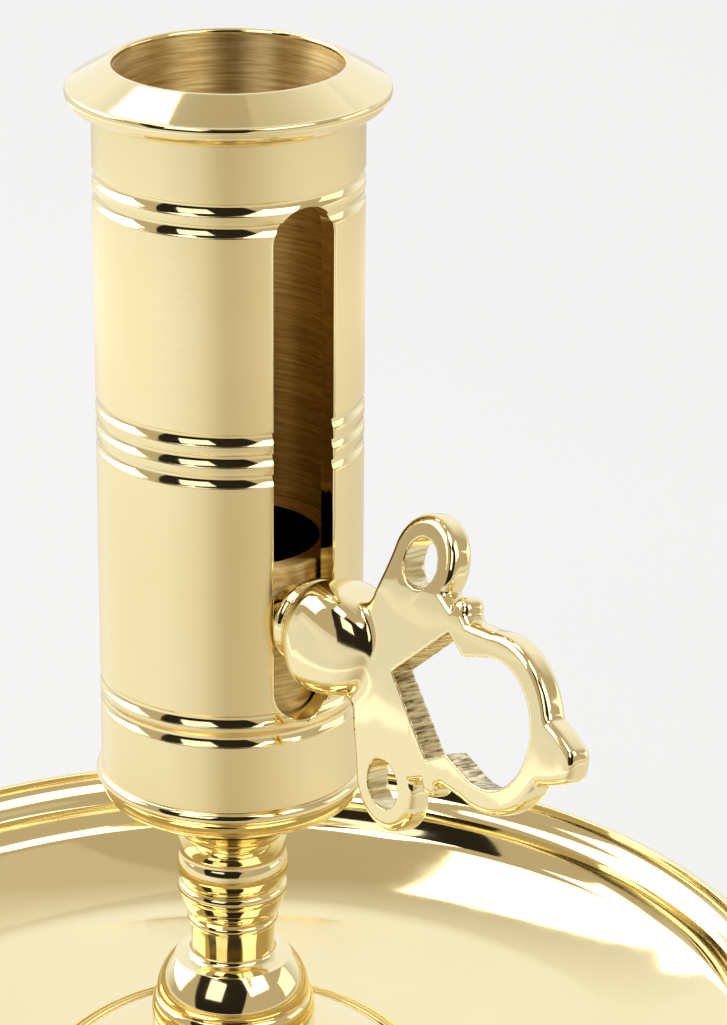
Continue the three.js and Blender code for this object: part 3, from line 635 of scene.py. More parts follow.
def polished_brass(finish):
    """Mirror brass with a faint hand-polished wave and hazy spots."""
    material, tree, shader = new_material("polished brass")
    dress(tree, shader, *hand_polish(tree, object_place(tree), finish))
    return material


def stretch_highlights(tree, shader, amount):
    """Stretches highlights along the axis, across marks that run round it."""
    shader.inputs["Anisotropic"].default_value = amount
    shader.inputs["Anisotropic Rotation"].default_value = 0.25
    tangent = tree.nodes.new("ShaderNodeTangent")
    tangent.direction_type = "RADIAL"
    tangent.axis = "Z"
    tree.links.new(tangent.outputs["Tangent"], shader.inputs["Tangent"])


def satin_brass(finish):
    """Brass brushed round the tube, its highlights stretched upright."""
    material, tree, shader = new_material("satin brass")
    place = object_place(tree)
    lines = noise(tree, stretched(tree, place, (1.0, 1.0, 45.0)), 80.0, 4.0, 0.6)
    cloud = noise(tree, place, 60.0, 3.0)
    base = tones(tree, cloud, finish.brass_deep, finish.brass_pale)
    roughness = spread(tree, lines, finish.satin * 0.92, finish.satin * 1.08)
    stretch_highlights(tree, shader, finish.brushing)
    dress(tree, shader, base, roughness, bump(tree, lines, 0.025, 0.02 * MM))
    return material


def turned_brass(finish):
    """Brass as the tool left it, with broken marks round the axis."""
    material, tree, shader = new_material("turned brass")
    place = object_place(tree)
    kind = "ShaderNodeVectorMath"
    flat = computed(tree, kind, "MULTIPLY", place, (1.0, 1.0, 0.0)).outputs["Vector"]
    radius = computed(tree, kind, "LENGTH", flat).outputs["Value"]
    rings = computed(tree, kind, "MULTIPLY_ADD", place, (0.05, 0.05, 1.0), radius).outputs["Vector"]
    marks = noise(tree, rings, 3600.0, 3.0, 0.6)
    base = tones(tree, marks, finish.bore_deep, finish.bore_pale, 0.36, 0.64)
    roughness = spread(tree, marks, 0.52, 0.46)
    stretch_highlights(tree, shader, 0.97)
    dress(tree, shader, base, roughness, bump(tree, marks, 0.1, 0.03 * MM))
    return material


def painted_shade_brass(finish):
    """Brass painted nearly black inside the follower cup as painted shade, with a faint mottle."""
    material, tree, shader = new_material("painted shade brass")
    # Painted shade: the mottle only varies how dark the inside of the cup is painted.
    shade_mottle = noise(tree, object_place(tree), 700.0, 4.0)
    base = tones(tree, shade_mottle, finish.painted_cup_shade, Vector(finish.painted_cup_shade) * 2)
    roughness = spread(tree, shade_mottle, 0.7, 0.45)
    dress(tree, shader, base, roughness, bump(tree, shade_mottle, 0.2, 0.05 * MM))
    return material


def cast_brass(finish, twist):
    """Polished brass of the thumb piece; the walls of its openings get file marks in roughness and relief,
    and painted shade in dark streaks.
    """
    material, tree, shader = new_material("cast brass")
    place = object_place(tree)
    walls = tree.nodes.new("ShaderNodeAttribute")
    walls.attribute_name = WALLS
    tint, haze, wave = hand_polish(tree, place, finish)
    strokes = noise(tree, stretched(tree, place, (1.0, 0.03, 1.0), (twist, 0, 0)), 3000.0, 3.0, 0.6)
    # Painted shade: dark streaks in the colour of the opening walls; the same strokes give real file marks
    # in roughness and relief.
    painted = tones(tree, strokes, finish.painted_streak_shade, finish.brass_pale, 0.36, 0.60)
    base = mixed(tree, "RGBA", walls.outputs["Fac"], tint, painted)
    rough = spread(tree, strokes, 0.42, 0.16)
    roughness = mixed(tree, "FLOAT", walls.outputs["Fac"], haze, rough)
    depth = mixed(tree, "FLOAT", walls.outputs["Fac"], None, strokes)
    dress(tree, shader, base, roughness, bump(tree, depth, 0.5, 0.1 * MM, wave))
    return material


def mixed(tree, kind, amount, first, second):
    """Goes from one pattern to another, or from nothing where the first is left out."""
    made = tree.nodes.new("ShaderNodeMix")
    made.data_type = kind
    ends = [socket for socket in made.inputs if socket.enabled and socket.name in ("A", "B")]
    tree.links.new(amount, made.inputs["Factor"])
    for socket, value in zip(ends, (first, second)):
        if value is not None:
            tree.links.new(value, socket)
        else:
            socket.default_value = 0.0
    return next(socket for socket in made.outputs if socket.enabled)


def plain_steel(finish):
    """Bright steel with a fine grain and a few dull spots."""
    material, tree, shader = new_material("steel")
    place = object_place(tree)
    spots = noise(tree, place, 300.0, 5.0, 0.6)
    base = tones(tree, spots, finish.steel_deep, finish.steel_pale)
    roughness = spread(tree, spots, 0.24, 0.42)
    dress(tree, shader, base, roughness, bump(tree, noise(tree, place, 2200.0, 2.0), 0.12, 0.03 * MM))
    return material


def brasses(scene):
    """The brasses and the steel, each made once."""
    finish = scene.candlestick_finish
    makers = {
        "polished brass": lambda: polished_brass(finish),
        "satin brass": lambda: satin_brass(finish),
        "turned brass": lambda: turned_brass(finish),
        "painted shade brass": lambda: painted_shade_brass(finish),
        "cast brass": lambda: cast_brass(finish, scene.candlestick_ejector.twist),
        "steel": lambda: plain_steel(finish),
    }
    return {name: bpy.data.materials.get(name) or make() for name, make in makers.items()}


def dish_profile(s, hole):
    """The dish from the hole for the rod out over the top, and back under the floor."""
    floor = s.floor_height
    middle = floor - s.floor_sag
    under = floor - s.floor_thickness
    upper = s.radius - s.lip_width
    lower = upper - s.band_width
    floor_radius = lower - s.cove_width
    lip_foot = DISH_EDGE - s.lip_drop
    band_foot = lip_foot - s.band_drop
    half = s.crease / 2
    lip_flat = 0.8 * MM
    foot_round = 0.35 * MM
    foot_slope = 0.6 * MM
    seat_gap = 0.6 * MM
    seat = BOX["stem_flange"][1].y + seat_gap
    rim = (s.boss_radius, floor + s.boss_edge)
    boss = pull((seat, BOSS_TOP), ((seat + 2 * s.boss_radius) / 3, BOSS_TOP), rim, 24)
    hollow_end = (s.boss_radius + s.boss_hollow, middle)
    hollow = pull(rim, (s.boss_radius + s.boss_hollow / 4, middle), hollow_end, 14)
    rise_start = (floor_radius - s.floor_rise, middle)
    rise_bend = (floor_radius - s.floor_rise / 2, middle)
    rise = pull(rise_start, rise_bend, (floor_radius, floor), 12)
    cove_end = (lower - half, band_foot - s.crease)
    heel_end = (floor_radius + s.heel_width, floor + s.heel_rise)
    heel_bend = (floor_radius + s.heel_width * 2 / 3, floor + s.heel_rise * 0.4)
    heel = pull((floor_radius, floor), heel_bend, heel_end, 10)
    cove_bend = ((heel_end[0] + cove_end[0]) / 2, heel_end[1] + (cove_end[1] - heel_end[1]) / 3)
    cove = pull(heel_end, cove_bend, cove_end, 24)
    band_end = (upper - half, lip_foot - s.crease)
    band = pull((lower + half, band_foot), (band_end[0], band_foot + s.band_drop / 2), band_end, 10)
    lip_inside = (s.radius - lip_flat, DISH_EDGE - lip_flat / 2)
    lip = pull((upper + half, lip_foot), (lip_inside[0], lip_foot + s.lip_drop / 3), lip_inside, 10)
    wall_foot = (lower + s.wall, band_foot - s.wall / 3)
    belly = pull(wall_foot, (lower - s.cove_width / 3, under), (floor_radius + foot_slope, under), 24)
    boss_under = BOSS_TOP - s.boss_thickness
    under_rim = (s.boss_radius - s.floor_thickness / 2, floor + s.boss_edge - s.floor_thickness)
    under_foot = (s.boss_radius + s.boss_hollow / 2, under)
    under_hollow = pull(under_foot, (s.boss_radius, under), under_rim, 10)
    under_boss = pull(under_rim, ((seat + under_rim[0]) / 2, boss_under), (seat, boss_under), 16)
    return [
        (hole, BOSS_TOP),
        *boss,
        *hollow[1:],
        *rise,
        *heel[1:],
        *cove[1:],
        *band,
        *lip,
        (s.radius - lip_flat, DISH_EDGE, s.lip_round),
        (s.radius, DISH_EDGE, s.lip_round),
        (s.radius, DISH_EDGE - lip_flat, s.lip_round),
        (upper + s.wall, lip_foot - s.crease, 2 * s.lip_round),
        *belly,
        (floor_radius, 0.0, foot_round),
        (floor_radius - s.foot_width, 0.0, foot_round),
        (floor_radius - s.foot_width - foot_slope, under, foot_round),
        *under_hollow,
        *under_boss[1:],
        (hole, boss_under),
    ]


def flange_profile(s, hole):
    """The disc under the stem, its top edge rounded."""
    height = STEM_SEAT - BOSS_TOP
    edge = 0.35 * MM
    shoulder = (s.flange_radius, height - s.flange_round)
    return [
        (hole, 0.0),
        (s.flange_radius, 0.0, edge),
        *pull(shoulder, (s.flange_radius, height - edge), (s.foot_radius, height), 18),
        (hole, height),
    ]


def stem_profile(s, hole):
    """A domed foot with a shoulder, a shank, a small ring, a cup and a collar."""
    height = BASE_SEAT - STEM_SEAT
    foot_top_round = 0.15 * MM
    collar_foot = height - s.collar_height
    foot_side = (s.foot_radius, s.foot_lip)
    foot_bend = (s.foot_radius - s.foot_lip / 2, s.foot_height * 0.55)
    foot_top = (s.foot_top, s.foot_height)
    shoulder_bend = (s.shank_radius, s.foot_height + s.shoulder_rise)
    shoulder = pull(foot_top, shoulder_bend, (s.shank_radius, s.shank_rise), 24)
    cup_foot = (s.shank_radius + s.ring_swell / 2, s.ring_rise + s.ring_radius * 1.6)
    cup_top = (s.collar_radius - s.neck_inset / 2, collar_foot)
    collar = (s.collar_radius - s.neck_inset, collar_foot + s.collar_height / 2)
    return [
        (hole, 0.0),
        (s.foot_radius, 0.0, s.foot_lip / 3),
        *pull(foot_side, foot_bend, foot_top, 24)[:-1],
        (*foot_top, foot_top_round),
        *shoulder[1:],
        *arc((s.shank_radius, s.ring_rise), s.ring_swell, s.ring_radius, -90, 60, 12),
        *pull(cup_foot, (cup_top[0] - s.neck_inset / 2, cup_foot[1] + s.ring_radius), cup_top, 14),
        *arc(collar, s.neck_inset, s.collar_height / 2, -60, 90, 14),
        (hole, height),
    ]


def base_profile(s, hole, bore):
    """A bulging pedestal, a hollow underside, a band, a bead and the spigot inside the tube."""
    spigot = bore - SPIGOT_GAP
    spigot_top = BOX["tube_base"][1].z - BASE_SEAT
    waist = s.pedestal_radius - s.pedestal_swell
    band = TUBE_RADIUS - s.band_inset
    cove_foot = (waist + s.pedestal_swell / 2, s.pedestal_height)
    cove_bend = (cove_foot[0], s.underside_bend)
    bead = (TUBE_RADIUS + s.bead_swell - s.bead_radius, s.base_height - s.bead_radius)
    half = s.pedestal_height / 2
    return [
        (0.0, s.rod_socket),
        (hole, s.rod_socket),
        (hole, 0.0),
        (s.collar_radius - s.neck_inset, 0.0),
        *arc((waist, half), s.pedestal_swell, half, -75, 60, 20),
        *pull(cove_foot, cove_bend, (band - s.band_inset, s.underside_height), 28)[1:],
        (band, s.underside_height + s.band_height / 3, 0.2 * MM),
        (band, s.underside_height + s.band_height),
        *arc(bead, s.bead_radius, s.bead_radius, -75, 90, 18),
        (spigot, s.base_height),
        (spigot, spigot_top, 0.4 * MM),
        (0.0, spigot_top),
    ]


def grooves(s, count, middle):
    """A row of grooves about one height, each with a short upper side and a long, hollow lower side."""
    points = []
    upper_share = 0.22
    flank_rise = s.groove_depth * 1.15
    bottom = TUBE_RADIUS - s.groove_depth
    for i in range(count):
        height = middle + (i - (count - 1) / 2) * s.groove_pitch
        foot = height - s.groove_width / 2
        head = height + s.groove_width / 2
        deepest = head - s.groove_width * upper_share
        flank = pull((TUBE_RADIUS, foot), (bottom, foot + flank_rise), (bottom, deepest), 12)
        points.append((TUBE_RADIUS, foot - s.groove_edge))
        points += flank
        points += arc((TUBE_RADIUS, deepest), s.groove_depth, head - deepest, 180, 96, 7)[1:]
        points.append((TUBE_RADIUS, head + s.groove_edge))
    return points


def rim_socket_top():
    """Top of the step in the rim that takes the tube, above the seat of the tube."""
    return BOX["candle_tube"][1].z + SPIGOT_GAP - TUBE_SEAT


def tube_profile(s):
    """The tube with its three rows of grooves and the step that holds the rim."""
    height = RIM_SEAT - TUBE_SEAT
    spigot_top = rim_socket_top() - s.seam
    spigot = s.bore + s.spigot_wall
    return [
        (s.bore, 0.0),
        (TUBE_RADIUS, 0.0),
        *grooves(s, 2, s.lower_rise),
        *grooves(s, 3, height - s.middle_drop),
        *grooves(s, 2, height - s.upper_drop),
        (TUBE_RADIUS, height),
        (spigot, height),
        (spigot, spigot_top),
        (s.bore, spigot_top),
    ]


def slot_cutter(s):
    """The long round-ended slot, opening out in a small round at the surface of the tube."""
    half = s.slot_width / 2
    beyond = 2.0 * MM
    round_steps = 5
    foot = TUBE_SEAT + s.slot_foot + half
    head = RIM_SEAT - s.slot_head - half
    levels = [(half + beyond, half), (s.bore, half)]
    for i in range(round_steps + 1):
        turn = math.radians(90 * i / round_steps)
        out = TUBE_RADIUS - s.slot_round * (1 - math.sin(turn))
        levels.append((out, half + s.slot_round * (1 - math.cos(turn))))
    levels.append((TUBE_RADIUS + beyond, half + 2 * s.slot_round))
    shape = bmesh.new()
    ends = arc((0.0, head), half, half, 0, 180, 36) + arc((0.0, foot), half, half, 180, 360, 36)
    sides = outline(ends)
    verts, edges = wire(shape, [(0.0, y, z) for y, z in sides], True)
    put_on_level(verts, foot, head, *levels[0])
    first = edges
    for level in levels[1:]:
        grown = bmesh.ops.extrude_edge_only(shape, edges=edges)["geom"]
        verts = of_kind(grown, bmesh.types.BMVert)
        edges = of_kind(grown, bmesh.types.BMEdge)
        put_on_level(verts, foot, head, *level)
    for rim in (first, edges):
        bmesh.ops.edgeloop_fill(shape, edges=rim)
    return clean(shape)


def put_on_level(verts, foot, head, radius, half):
    """Moves a loop of the slot to one radius of the tube and one half width."""
    for vert in verts:
        core = Vector((0.0, min(max(vert.co.z, foot), head)))
        side = (Vector((vert.co.y, vert.co.z)) - core).normalized() * half
        vert.co = (math.sqrt(radius**2 - side.x**2), side.x, core.y + side.y)


def rim_profile(s):
    """A rounded underside, an edge, a sloping face, a lip round the bore and the step for the tube."""
    height = RIM_TOP - RIM_SEAT
    radius = TUBE_RADIUS + s.overhang
    socket = s.bore + s.spigot_wall + SPIGOT_GAP
    socket_top = rim_socket_top() + TUBE_SEAT - RIM_SEAT
    edge = (radius, s.edge_rise)
    face_edge = (radius - s.edge_round, height - s.face_drop)
    lip = (s.bore + s.lip_radius, height - s.lip_radius)
    return [
        (socket, 0.0),
        *pull((TUBE_RADIUS, 0.0), (radius, s.edge_rise / 3), edge, 18),
        *pull(edge, (radius, face_edge[1]), face_edge, 8)[1:],
        *arc(lip, s.lip_radius, s.lip_radius, 62, 180, 12),
        (s.bore, socket_top),
        (socket, socket_top),
    ]


def cup_profile(s):
    """An open cup with softened edges."""
    bore = CUP_RADIUS - s.cup_wall
    height = CUP_TOP - CUP_FOOT
    edge = 0.3 * MM
    return [
        (0.0, 0.0),
        (CUP_RADIUS, 0.0, edge),
        (CUP_RADIUS, height, edge),
        (bore, height, edge),
        (bore, s.cup_floor, 2 * edge),
        (0.0, s.cup_floor),
    ]


def neck_profile(s, shoulder):
    """Shank, shoulder, waist and bulb along the neck."""
    start = BOX["thumb_piece"][0].x
    waist_end = shoulder + 2 * s.shoulder_width
    waist = (s.shoulder_radius - s.waist, waist_end)
    middle = (s.bulb_radius, shoulder + s.bulb_reach)
    edge = 0.15 * MM
    bulb_bend = (s.bulb_radius, shoulder + s.bulb_end * 0.86)
    return [
        (0.0, start),
        (s.shank_radius, start, edge),
        (s.shank_radius, shoulder, edge),
        (s.shoulder_radius, shoulder, 2 * edge),
        (s.shoulder_radius, shoulder + s.shoulder_width, 2 * edge),
        *pull(waist, (s.bulb_radius, (waist_end + middle[1]) / 2), middle, 16),
        *pull(middle, bulb_bend, (0.0, shoulder + s.bulb_end), 24)[1:],
    ]


def mirrored(upper):
    """Both halves of an outline that is the same on each side of the neck."""
    lower = [(x, -y) for x, y in upper if y > 0]
    return lower + upper[::-1]


def plate_outline(s):
    """The plate from its root past ear, knob and round end to the tip."""
    root = (s.root_reach, s.root_spread)
    ear_side = (s.ear_reach - s.ear_radius, s.ear_spread)
    hip = (ear_side[0] - s.ear_radius / 4, s.root_spread + (s.ear_spread - s.root_spread) / 3)
    eye = arc((s.eye_reach, 0.0), s.eye_radius, s.eye_radius, 105, 24, 28)
    edge = 0.35 * MM
    nick = 0.2 * MM
    tip_start = 0.3 * MM
    notch = (s.knob_reach + s.knob_radius * 1.6, eye[0][1] - nick)
    tip_end = s.eye_reach + s.eye_radius + s.tip_length
    tip_root = (eye[-1][0] + tip_start, eye[-1][1] - edge)
    tip_side = (tip_end - s.tip_length * 0.2, s.tip_radius)
    tip_bend = ((tip_root[0] + tip_side[0]) / 2, (tip_root[1] + tip_side[1]) / 2 + nick)
    return mirrored(
        [
            *pull(root, (hip[0] - edge, s.root_spread), hip, 10),
            *pull(hip, (ear_side[0] - edge, (hip[1] + s.ear_spread) / 2), ear_side, 8)[1:],
            *arc((s.ear_reach, s.ear_spread), s.ear_radius, s.ear_radius, 165, -19, 40),
            *arc((s.knob_reach, s.knob_spread), s.knob_radius, s.knob_radius, 165, 0, 18),
            notch,
            *eye,
            *pull(tip_root, tip_bend, tip_side, 8),
            *pull(tip_side, (tip_end, s.tip_radius * 0.8), (tip_end, 0.0), 8)[1:],
        ]
    )


def window_outline(s):
    """A pointed front, a cusp on each side and a round end."""
    far = s.window_radius + s.cusp_proud
    cusp = (s.eye_reach + far * math.cos(s.cusp_angle), far * math.sin(s.cusp_angle))
    corner = (cusp[0] - s.corner_back, cusp[1] + s.corner_rise)
    touch = math.degrees(s.cusp_angle - math.acos(s.window_radius / far))
    return mirrored(
        [
            (corner[0] - s.apex_back, 0.0),
            corner,
            cusp,
            *arc((s.eye_reach, 0.0), s.window_radius, s.window_radius, touch, 0, 36),
        ]
    )


def plate_place(s, shoulder):
    """Where the flat plate stands on the neck."""
    lift = Matrix.Rotation(-s.lift, 4, "Y")
    twist = Matrix.Rotation(math.pi / 2 - s.twist, 4, "X")
    return Matrix.Translation((shoulder, 0.0, NECK_HEIGHT)) @ lift @ twist


def flattened_bulb(neck, s, shoulder):
    """Gives the round bulb flatter sides, one of them in line with the plate."""
    start = shoulder + 2 * s.shoulder_width
    full = shoulder + s.bulb_reach
    power = 2 + 2 * s.bulb_square
    twist = Matrix.Rotation(s.twist, 3, "X")
    centre = Vector((0.0, 0.0, NECK_HEIGHT))
    for vert in neck.verts:
        amount = min(1.0, max(0.0, (vert.co.x - start) / (full - start)))
        level = twist @ (vert.co - centre)
        out = math.hypot(level.y, level.z)
        if amount == 0.0 or out < 0.01 * MM:
            continue
        corners = abs(level.y / out) ** power + abs(level.z / out) ** power
        swell = 1 + amount * (corners ** (-1 / power) - 1)
        level.y *= swell * (1 + amount * (s.bulb_flat - 1))
        level.z *= swell
        vert.co = twist.transposed() @ level + centre


def skinned(shape, voxel):
    """One closed skin over a shape."""
    helper = new_object("helper", shape)
    skin = helper.modifiers.new("skin", "REMESH")
    skin.mode = "VOXEL"
    skin.voxel_size = voxel
    result = settle(helper)
    discard(helper)
    return result


def blended(shape, parts, width):
    """A skin smoothed where two of its parts meet, its edges softened, its flats with fewer faces."""
    trees = [BVHTree.FromBMesh(part) for part in parts]
    helper = new_object("helper", shape)
    group = helper.vertex_groups.new(name="blend")
    for vert in helper.data.vertices:
        away = max(tree.find_nearest(vert.co)[3] for tree in trees)
        near = max(0.0, 1.0 - away / width)
        if near > 0.0:
            group.add([vert.index], near * near * (3 - 2 * near), "REPLACE")
    smooth = helper.modifiers.new("blend", "SMOOTH")
    smooth.vertex_group = group.name
    smooth.factor = 0.5
    smooth.iterations = BLEND_ROUNDS
    buff = helper.modifiers.new("buff", "SMOOTH")
    buff.factor = 0.5
    buff.iterations = BUFF_ROUNDS
    thin = helper.modifiers.new("thin", "DECIMATE")
    thin.ratio = KEPT_FACES
    result = settle(helper)
    discard(helper)
    return result


def thumb_shape(s):
    """Neck and pierced plate as one casting."""
    shoulder = TUBE_RADIUS + s.shoulder_gap
    place = plate_place(s, shoulder)
    plate = prism(plate_outline(s), s.plate_thickness, s.plate_round)
    deep = 2 * s.plate_thickness
    cutters = [prism(window_outline(s), deep)]
    for side in (1, -1):
        middle = (s.ear_reach, side * s.ear_spread)
        cutters.append(prism(arc(middle, s.ear_hole, s.ear_hole, 0, 352.5, 47), deep))
    plate = combined(plate, cutters, "DIFFERENCE")
    plate.transform(place)
    neck = turned_along(neck_profile(s, shoulder), MEDIUM_STEPS, height=NECK_HEIGHT)
    flattened_bulb(neck, s, shoulder)
    parts = [plate.copy(), neck.copy()]
    casting = combined(neck, [plate], "UNION")
    start = BOX["thumb_piece"][0].x
    hole_depth = 7.8 * MM
    hole = cross_pin(s.screw_radius + SCREW_GAP, start - MM, start + hole_depth, NECK_HEIGHT)
    casting = combined(casting, [hole], "DIFFERENCE")
    for part in (casting, *parts):
        part.transform(place.inverted())
    skin = blended(skinned(casting, SKIN_GRID), parts, s.blend)
    for part in parts:
        part.free()
    mark_walls(skin, s)
    bow_ears(skin, s)
    skin.transform(place)
    return skin


def bow_ears(shape, s):
    """Bends both ears back along a soft crease, while the plate lies flat."""
    crease_share = 0.6
    start = crease_share * s.ear_spread
    soft = 2.0 * MM
    reach = s.ear_spread + s.ear_radius - start
    steepness = s.ear_bow * (reach + soft) / reach**2
    for vert in shape.verts:
        past = abs(vert.co.y) - start
        if past > 0.0:
            vert.co.z -= steepness * past**2 / (past + soft)


def mark_walls(shape, s):
    """Marks the walls of the window and of the ear holes, which get file marks and painted shade, while the
    plate lies flat.
    """
    shape.normal_update()
    marks = shape.verts.layers.float.new(WALLS)
    margin = 0.12 * MM
    front_start = s.ear_reach - 1.0 * MM
    front_spread = 6.6 * MM
    upright = 0.62
    fade = 0.3
    ear_share = 0.45
    for vert in shape.verts:
        x, y = vert.co.xy
        in_ear = math.hypot(x - s.ear_reach, abs(y) - s.ear_spread) < s.ear_hole + margin
        in_eye = math.hypot(x - s.eye_reach, y) < s.window_radius + margin
        front = front_start < x < s.eye_reach and abs(y) < front_spread
        if in_ear or in_eye or front:
            wall = min(1.0, max(0.0, (upright - abs(vert.normal.z)) / fade))
            vert[marks] = wall * (ear_share if in_ear else 1.0)


def leaf_shape(s, pocket_floor, middle, leaf_length):
    """The bowed steel leaf with its flat tab above."""
    seat_gap = 0.1 * MM
    cup_gap = 0.35 * MM
    crest_gap = 0.15 * MM
    steps = 32
    seat = pocket_floor + seat_gap
    bore = CUP_RADIUS + cup_gap
    crest = math.sqrt(bore**2 - (s.leaf_width / 2) ** 2) - crest_gap - s.leaf_thickness
    foot = middle - leaf_length / 2
    bow = leaf_length - s.leaf_tab
    points = []
    for i in range(steps + 1):
        t = i / steps
        rise = (1 - math.cos(math.tau * t)) / 2
        points.append((-(seat + (crest - seat) * rise), -s.leaf_width / 2, foot + bow * t))
    points.append((-seat, -s.leaf_width / 2, foot + leaf_length))
    shape = bmesh.new()
    _, edges = wire(shape, points, False)
    grown = bmesh.ops.extrude_edge_only(shape, edges=edges)["geom"]
    far = of_kind(grown, bmesh.types.BMVert)
    bmesh.ops.translate(shape, verts=far, vec=(0, s.leaf_width, 0))
    bmesh.ops.recalc_face_normals(shape, faces=shape.faces)
    bmesh.ops.solidify(shape, geom=list(shape.faces), thickness=-s.leaf_thickness)
    return clean(shape)


def screw_shape(s):
    """A screw with a slotted head, the rim of the head rounded."""
    low, high = (corner.x for corner in BOX["ejector_screw"])
    head_height = 1.3 * MM
    head = low + head_height
    edge = 0.25 * MM
    profile = [
        (0.0, low),
        (s.screw_head, low, 2 * edge),
        (s.screw_head, head, edge / 2),
        (s.screw_radius, head),
        (s.screw_radius, high, 2 * edge),
        (0.0, high),
    ]
    slot = block((2 * s.driver_slot, 3 * s.screw_head, s.driver_slot), (low, 0.0, NECK_HEIGHT))
    return combined(turned_along(profile, height=NECK_HEIGHT), [slot], "DIFFERENCE")


def rivet_shape(s):
    """A rivet with two rounded heads, through the wall of the cup."""
    low, high = BOX["spring_rivet"]
    height = (low.z + high.z) / 2
    dome = 0.4 * MM
    profile = [
        *arc((0.0, low.x + dome), s.rivet_head, dome, -90, 0, 8),
        (s.rivet_radius, low.x + dome),
        (s.rivet_radius, high.x - dome),
        *arc((0.0, high.x - dome), s.rivet_head, dome, 0, 90, 8),
    ]
    return turned_along(profile, RIVET_STEPS, height=height)


def rod_profile(s):
    """The tie rod with a thread at each end."""
    low, high = (corner.z for corner in BOX["tie_rod"])
    turns = int(s.thread_length / s.thread_pitch)
    core = ROD_RADIUS - s.thread_depth
    points = [(0.0, low), (ROD_RADIUS - s.chamfer, low)]
    for end, step in ((low + s.chamfer, 1), (high - s.chamfer, -1)):
        crests = []
        for i in range(turns):
            crest = end + step * i * s.thread_pitch
            crests += [(ROD_RADIUS, crest), (core, crest + step * s.thread_pitch / 2)]
        points += crests if step > 0 else crests[::-1]
    return points + [(ROD_RADIUS - s.chamfer, high), (0.0, high)]


def flat_ring(node_name, s):
    """A washer with softened edges."""
    low, high = BOX[node_name]
    edge = s.washer_edge
    corners = ((s.hole, low.z), (high.y, low.z), (high.y, high.z), (s.hole, high.z))
    return turned([(*corner, edge) for corner in corners], SMALL_STEPS)


def nut_shape(s):
    """A six-sided nut, its corners turned off at both faces."""
    low, high = (corner.z for corner in BOX["tie_nut"])
    corner = s.nut_flats / math.sqrt(3)
    hexagon = prism(arc((0.0, 0.0), corner, corner, 0, 300, 5), high - low)
    hexagon.transform(Matrix.Translation((0, 0, (low + high) / 2)))
    slope = s.nut_chamfer / 2
    inner = corner - s.nut_chamfer
    entry = 0.4 * MM
    barrel = [
        (s.hole + entry, low),
        (inner, low),
        (corner + MM, low + slope + MM / 2),
        (corner + MM, high - slope - MM / 2),
        (inner, high),
        (s.hole + entry, high),
        (s.hole, high - entry),
        (s.hole, low + entry),
    ]
    return combined(hexagon, [turned(barrel, MEDIUM_STEPS)], "INTERSECT")


class CANDLESTICK_OT_dish(bpy.types.Operator):
    """Turn the drip dish with its moulded rim and raised centre"""

    bl_idname = "candlestick.dish"
    bl_label = "Drip Dish"

    def execute(self, context):
        scene = context.scene
        metal = brasses(scene)
        sizes = scene.candlestick_dish
        shape = turned(dish_profile(sizes, scene.candlestick_tie.hole), DISH_STEPS)
        under = sizes.floor_height - sizes.floor_thickness / 2
        inner = 0.8 * sizes.radius
        paint(shape, lambda r, z, normal: 1 if z < under or normal.z < -0.2 and r < inner else 0)
        finishes = [metal["polished brass"], metal["turned brass"]]
        piece("dish", shape, MAIN, "drip_dish", finishes)
        return {"FINISHED"}


class CANDLESTICK_OT_stem(bpy.types.Operator):
    """Turn the flange, the stem and the base that carries the tube"""

    bl_idname = "candlestick.stem"
    bl_label = "Stem"

    def execute(self, context):
        scene = context.scene
        finishes = [brasses(scene)["polished brass"]]
        sizes = scene.candlestick_stem
        hole = scene.candlestick_tie.hole
        flange = turned(flange_profile(sizes, hole), STEM_STEPS, height=BOSS_TOP)
        piece("flange", flange, MAIN, "stem_flange", finishes)
        stem = turned(stem_profile(sizes, hole), STEM_STEPS, height=STEM_SEAT)
        piece("turned_stem", stem, MAIN, "stem", finishes)
        profile = base_profile(sizes, hole, scene.candlestick_tube.bore)
        base = turned(profile, FINE_STEPS, closed=False, height=BASE_SEAT)
        piece("base", base, MAIN, "tube_base", finishes)
        return {"FINISHED"}


class CANDLESTICK_OT_tube(bpy.types.Operator):
    """Turn the grooved tube, cut its long slot, and turn the rim"""

    bl_idname = "candlestick.tube"
    bl_label = "Tube and Rim"

    def execute(self, context):
        metal = brasses(context.scene)
        sizes = context.scene.candlestick_tube
        shape = turned(tube_profile(sizes), FINE_STEPS, height=TUBE_SEAT)
        cutter = slot_cutter(sizes)
        for face in cutter.faces:
            face.material_index = 1
        skin = TUBE_RADIUS - 0.05 * MM
        inside = sizes.bore + 0.1 * MM
        lip_foot = RIM_TOP - 0.6 * MM
        paint(shape, lambda r, z, normal: 2 if r < inside else 0 if r > skin else 1)
        shape = combined(shape, [cutter], "DIFFERENCE")
        finishes = [metal["satin brass"], metal["polished brass"], metal["turned brass"]]
        piece("tube", shape, MAIN, "candle_tube", finishes)
        rim = turned(rim_profile(sizes), FINE_STEPS, height=RIM_SEAT)
        paint(rim, lambda r, z, normal: 1 if r < inside and z < lip_foot else 0)
        finishes = [metal["polished brass"], metal["turned brass"]]
        piece("rim", rim, MAIN, "rim_collar", finishes)
        return {"FINISHED"}


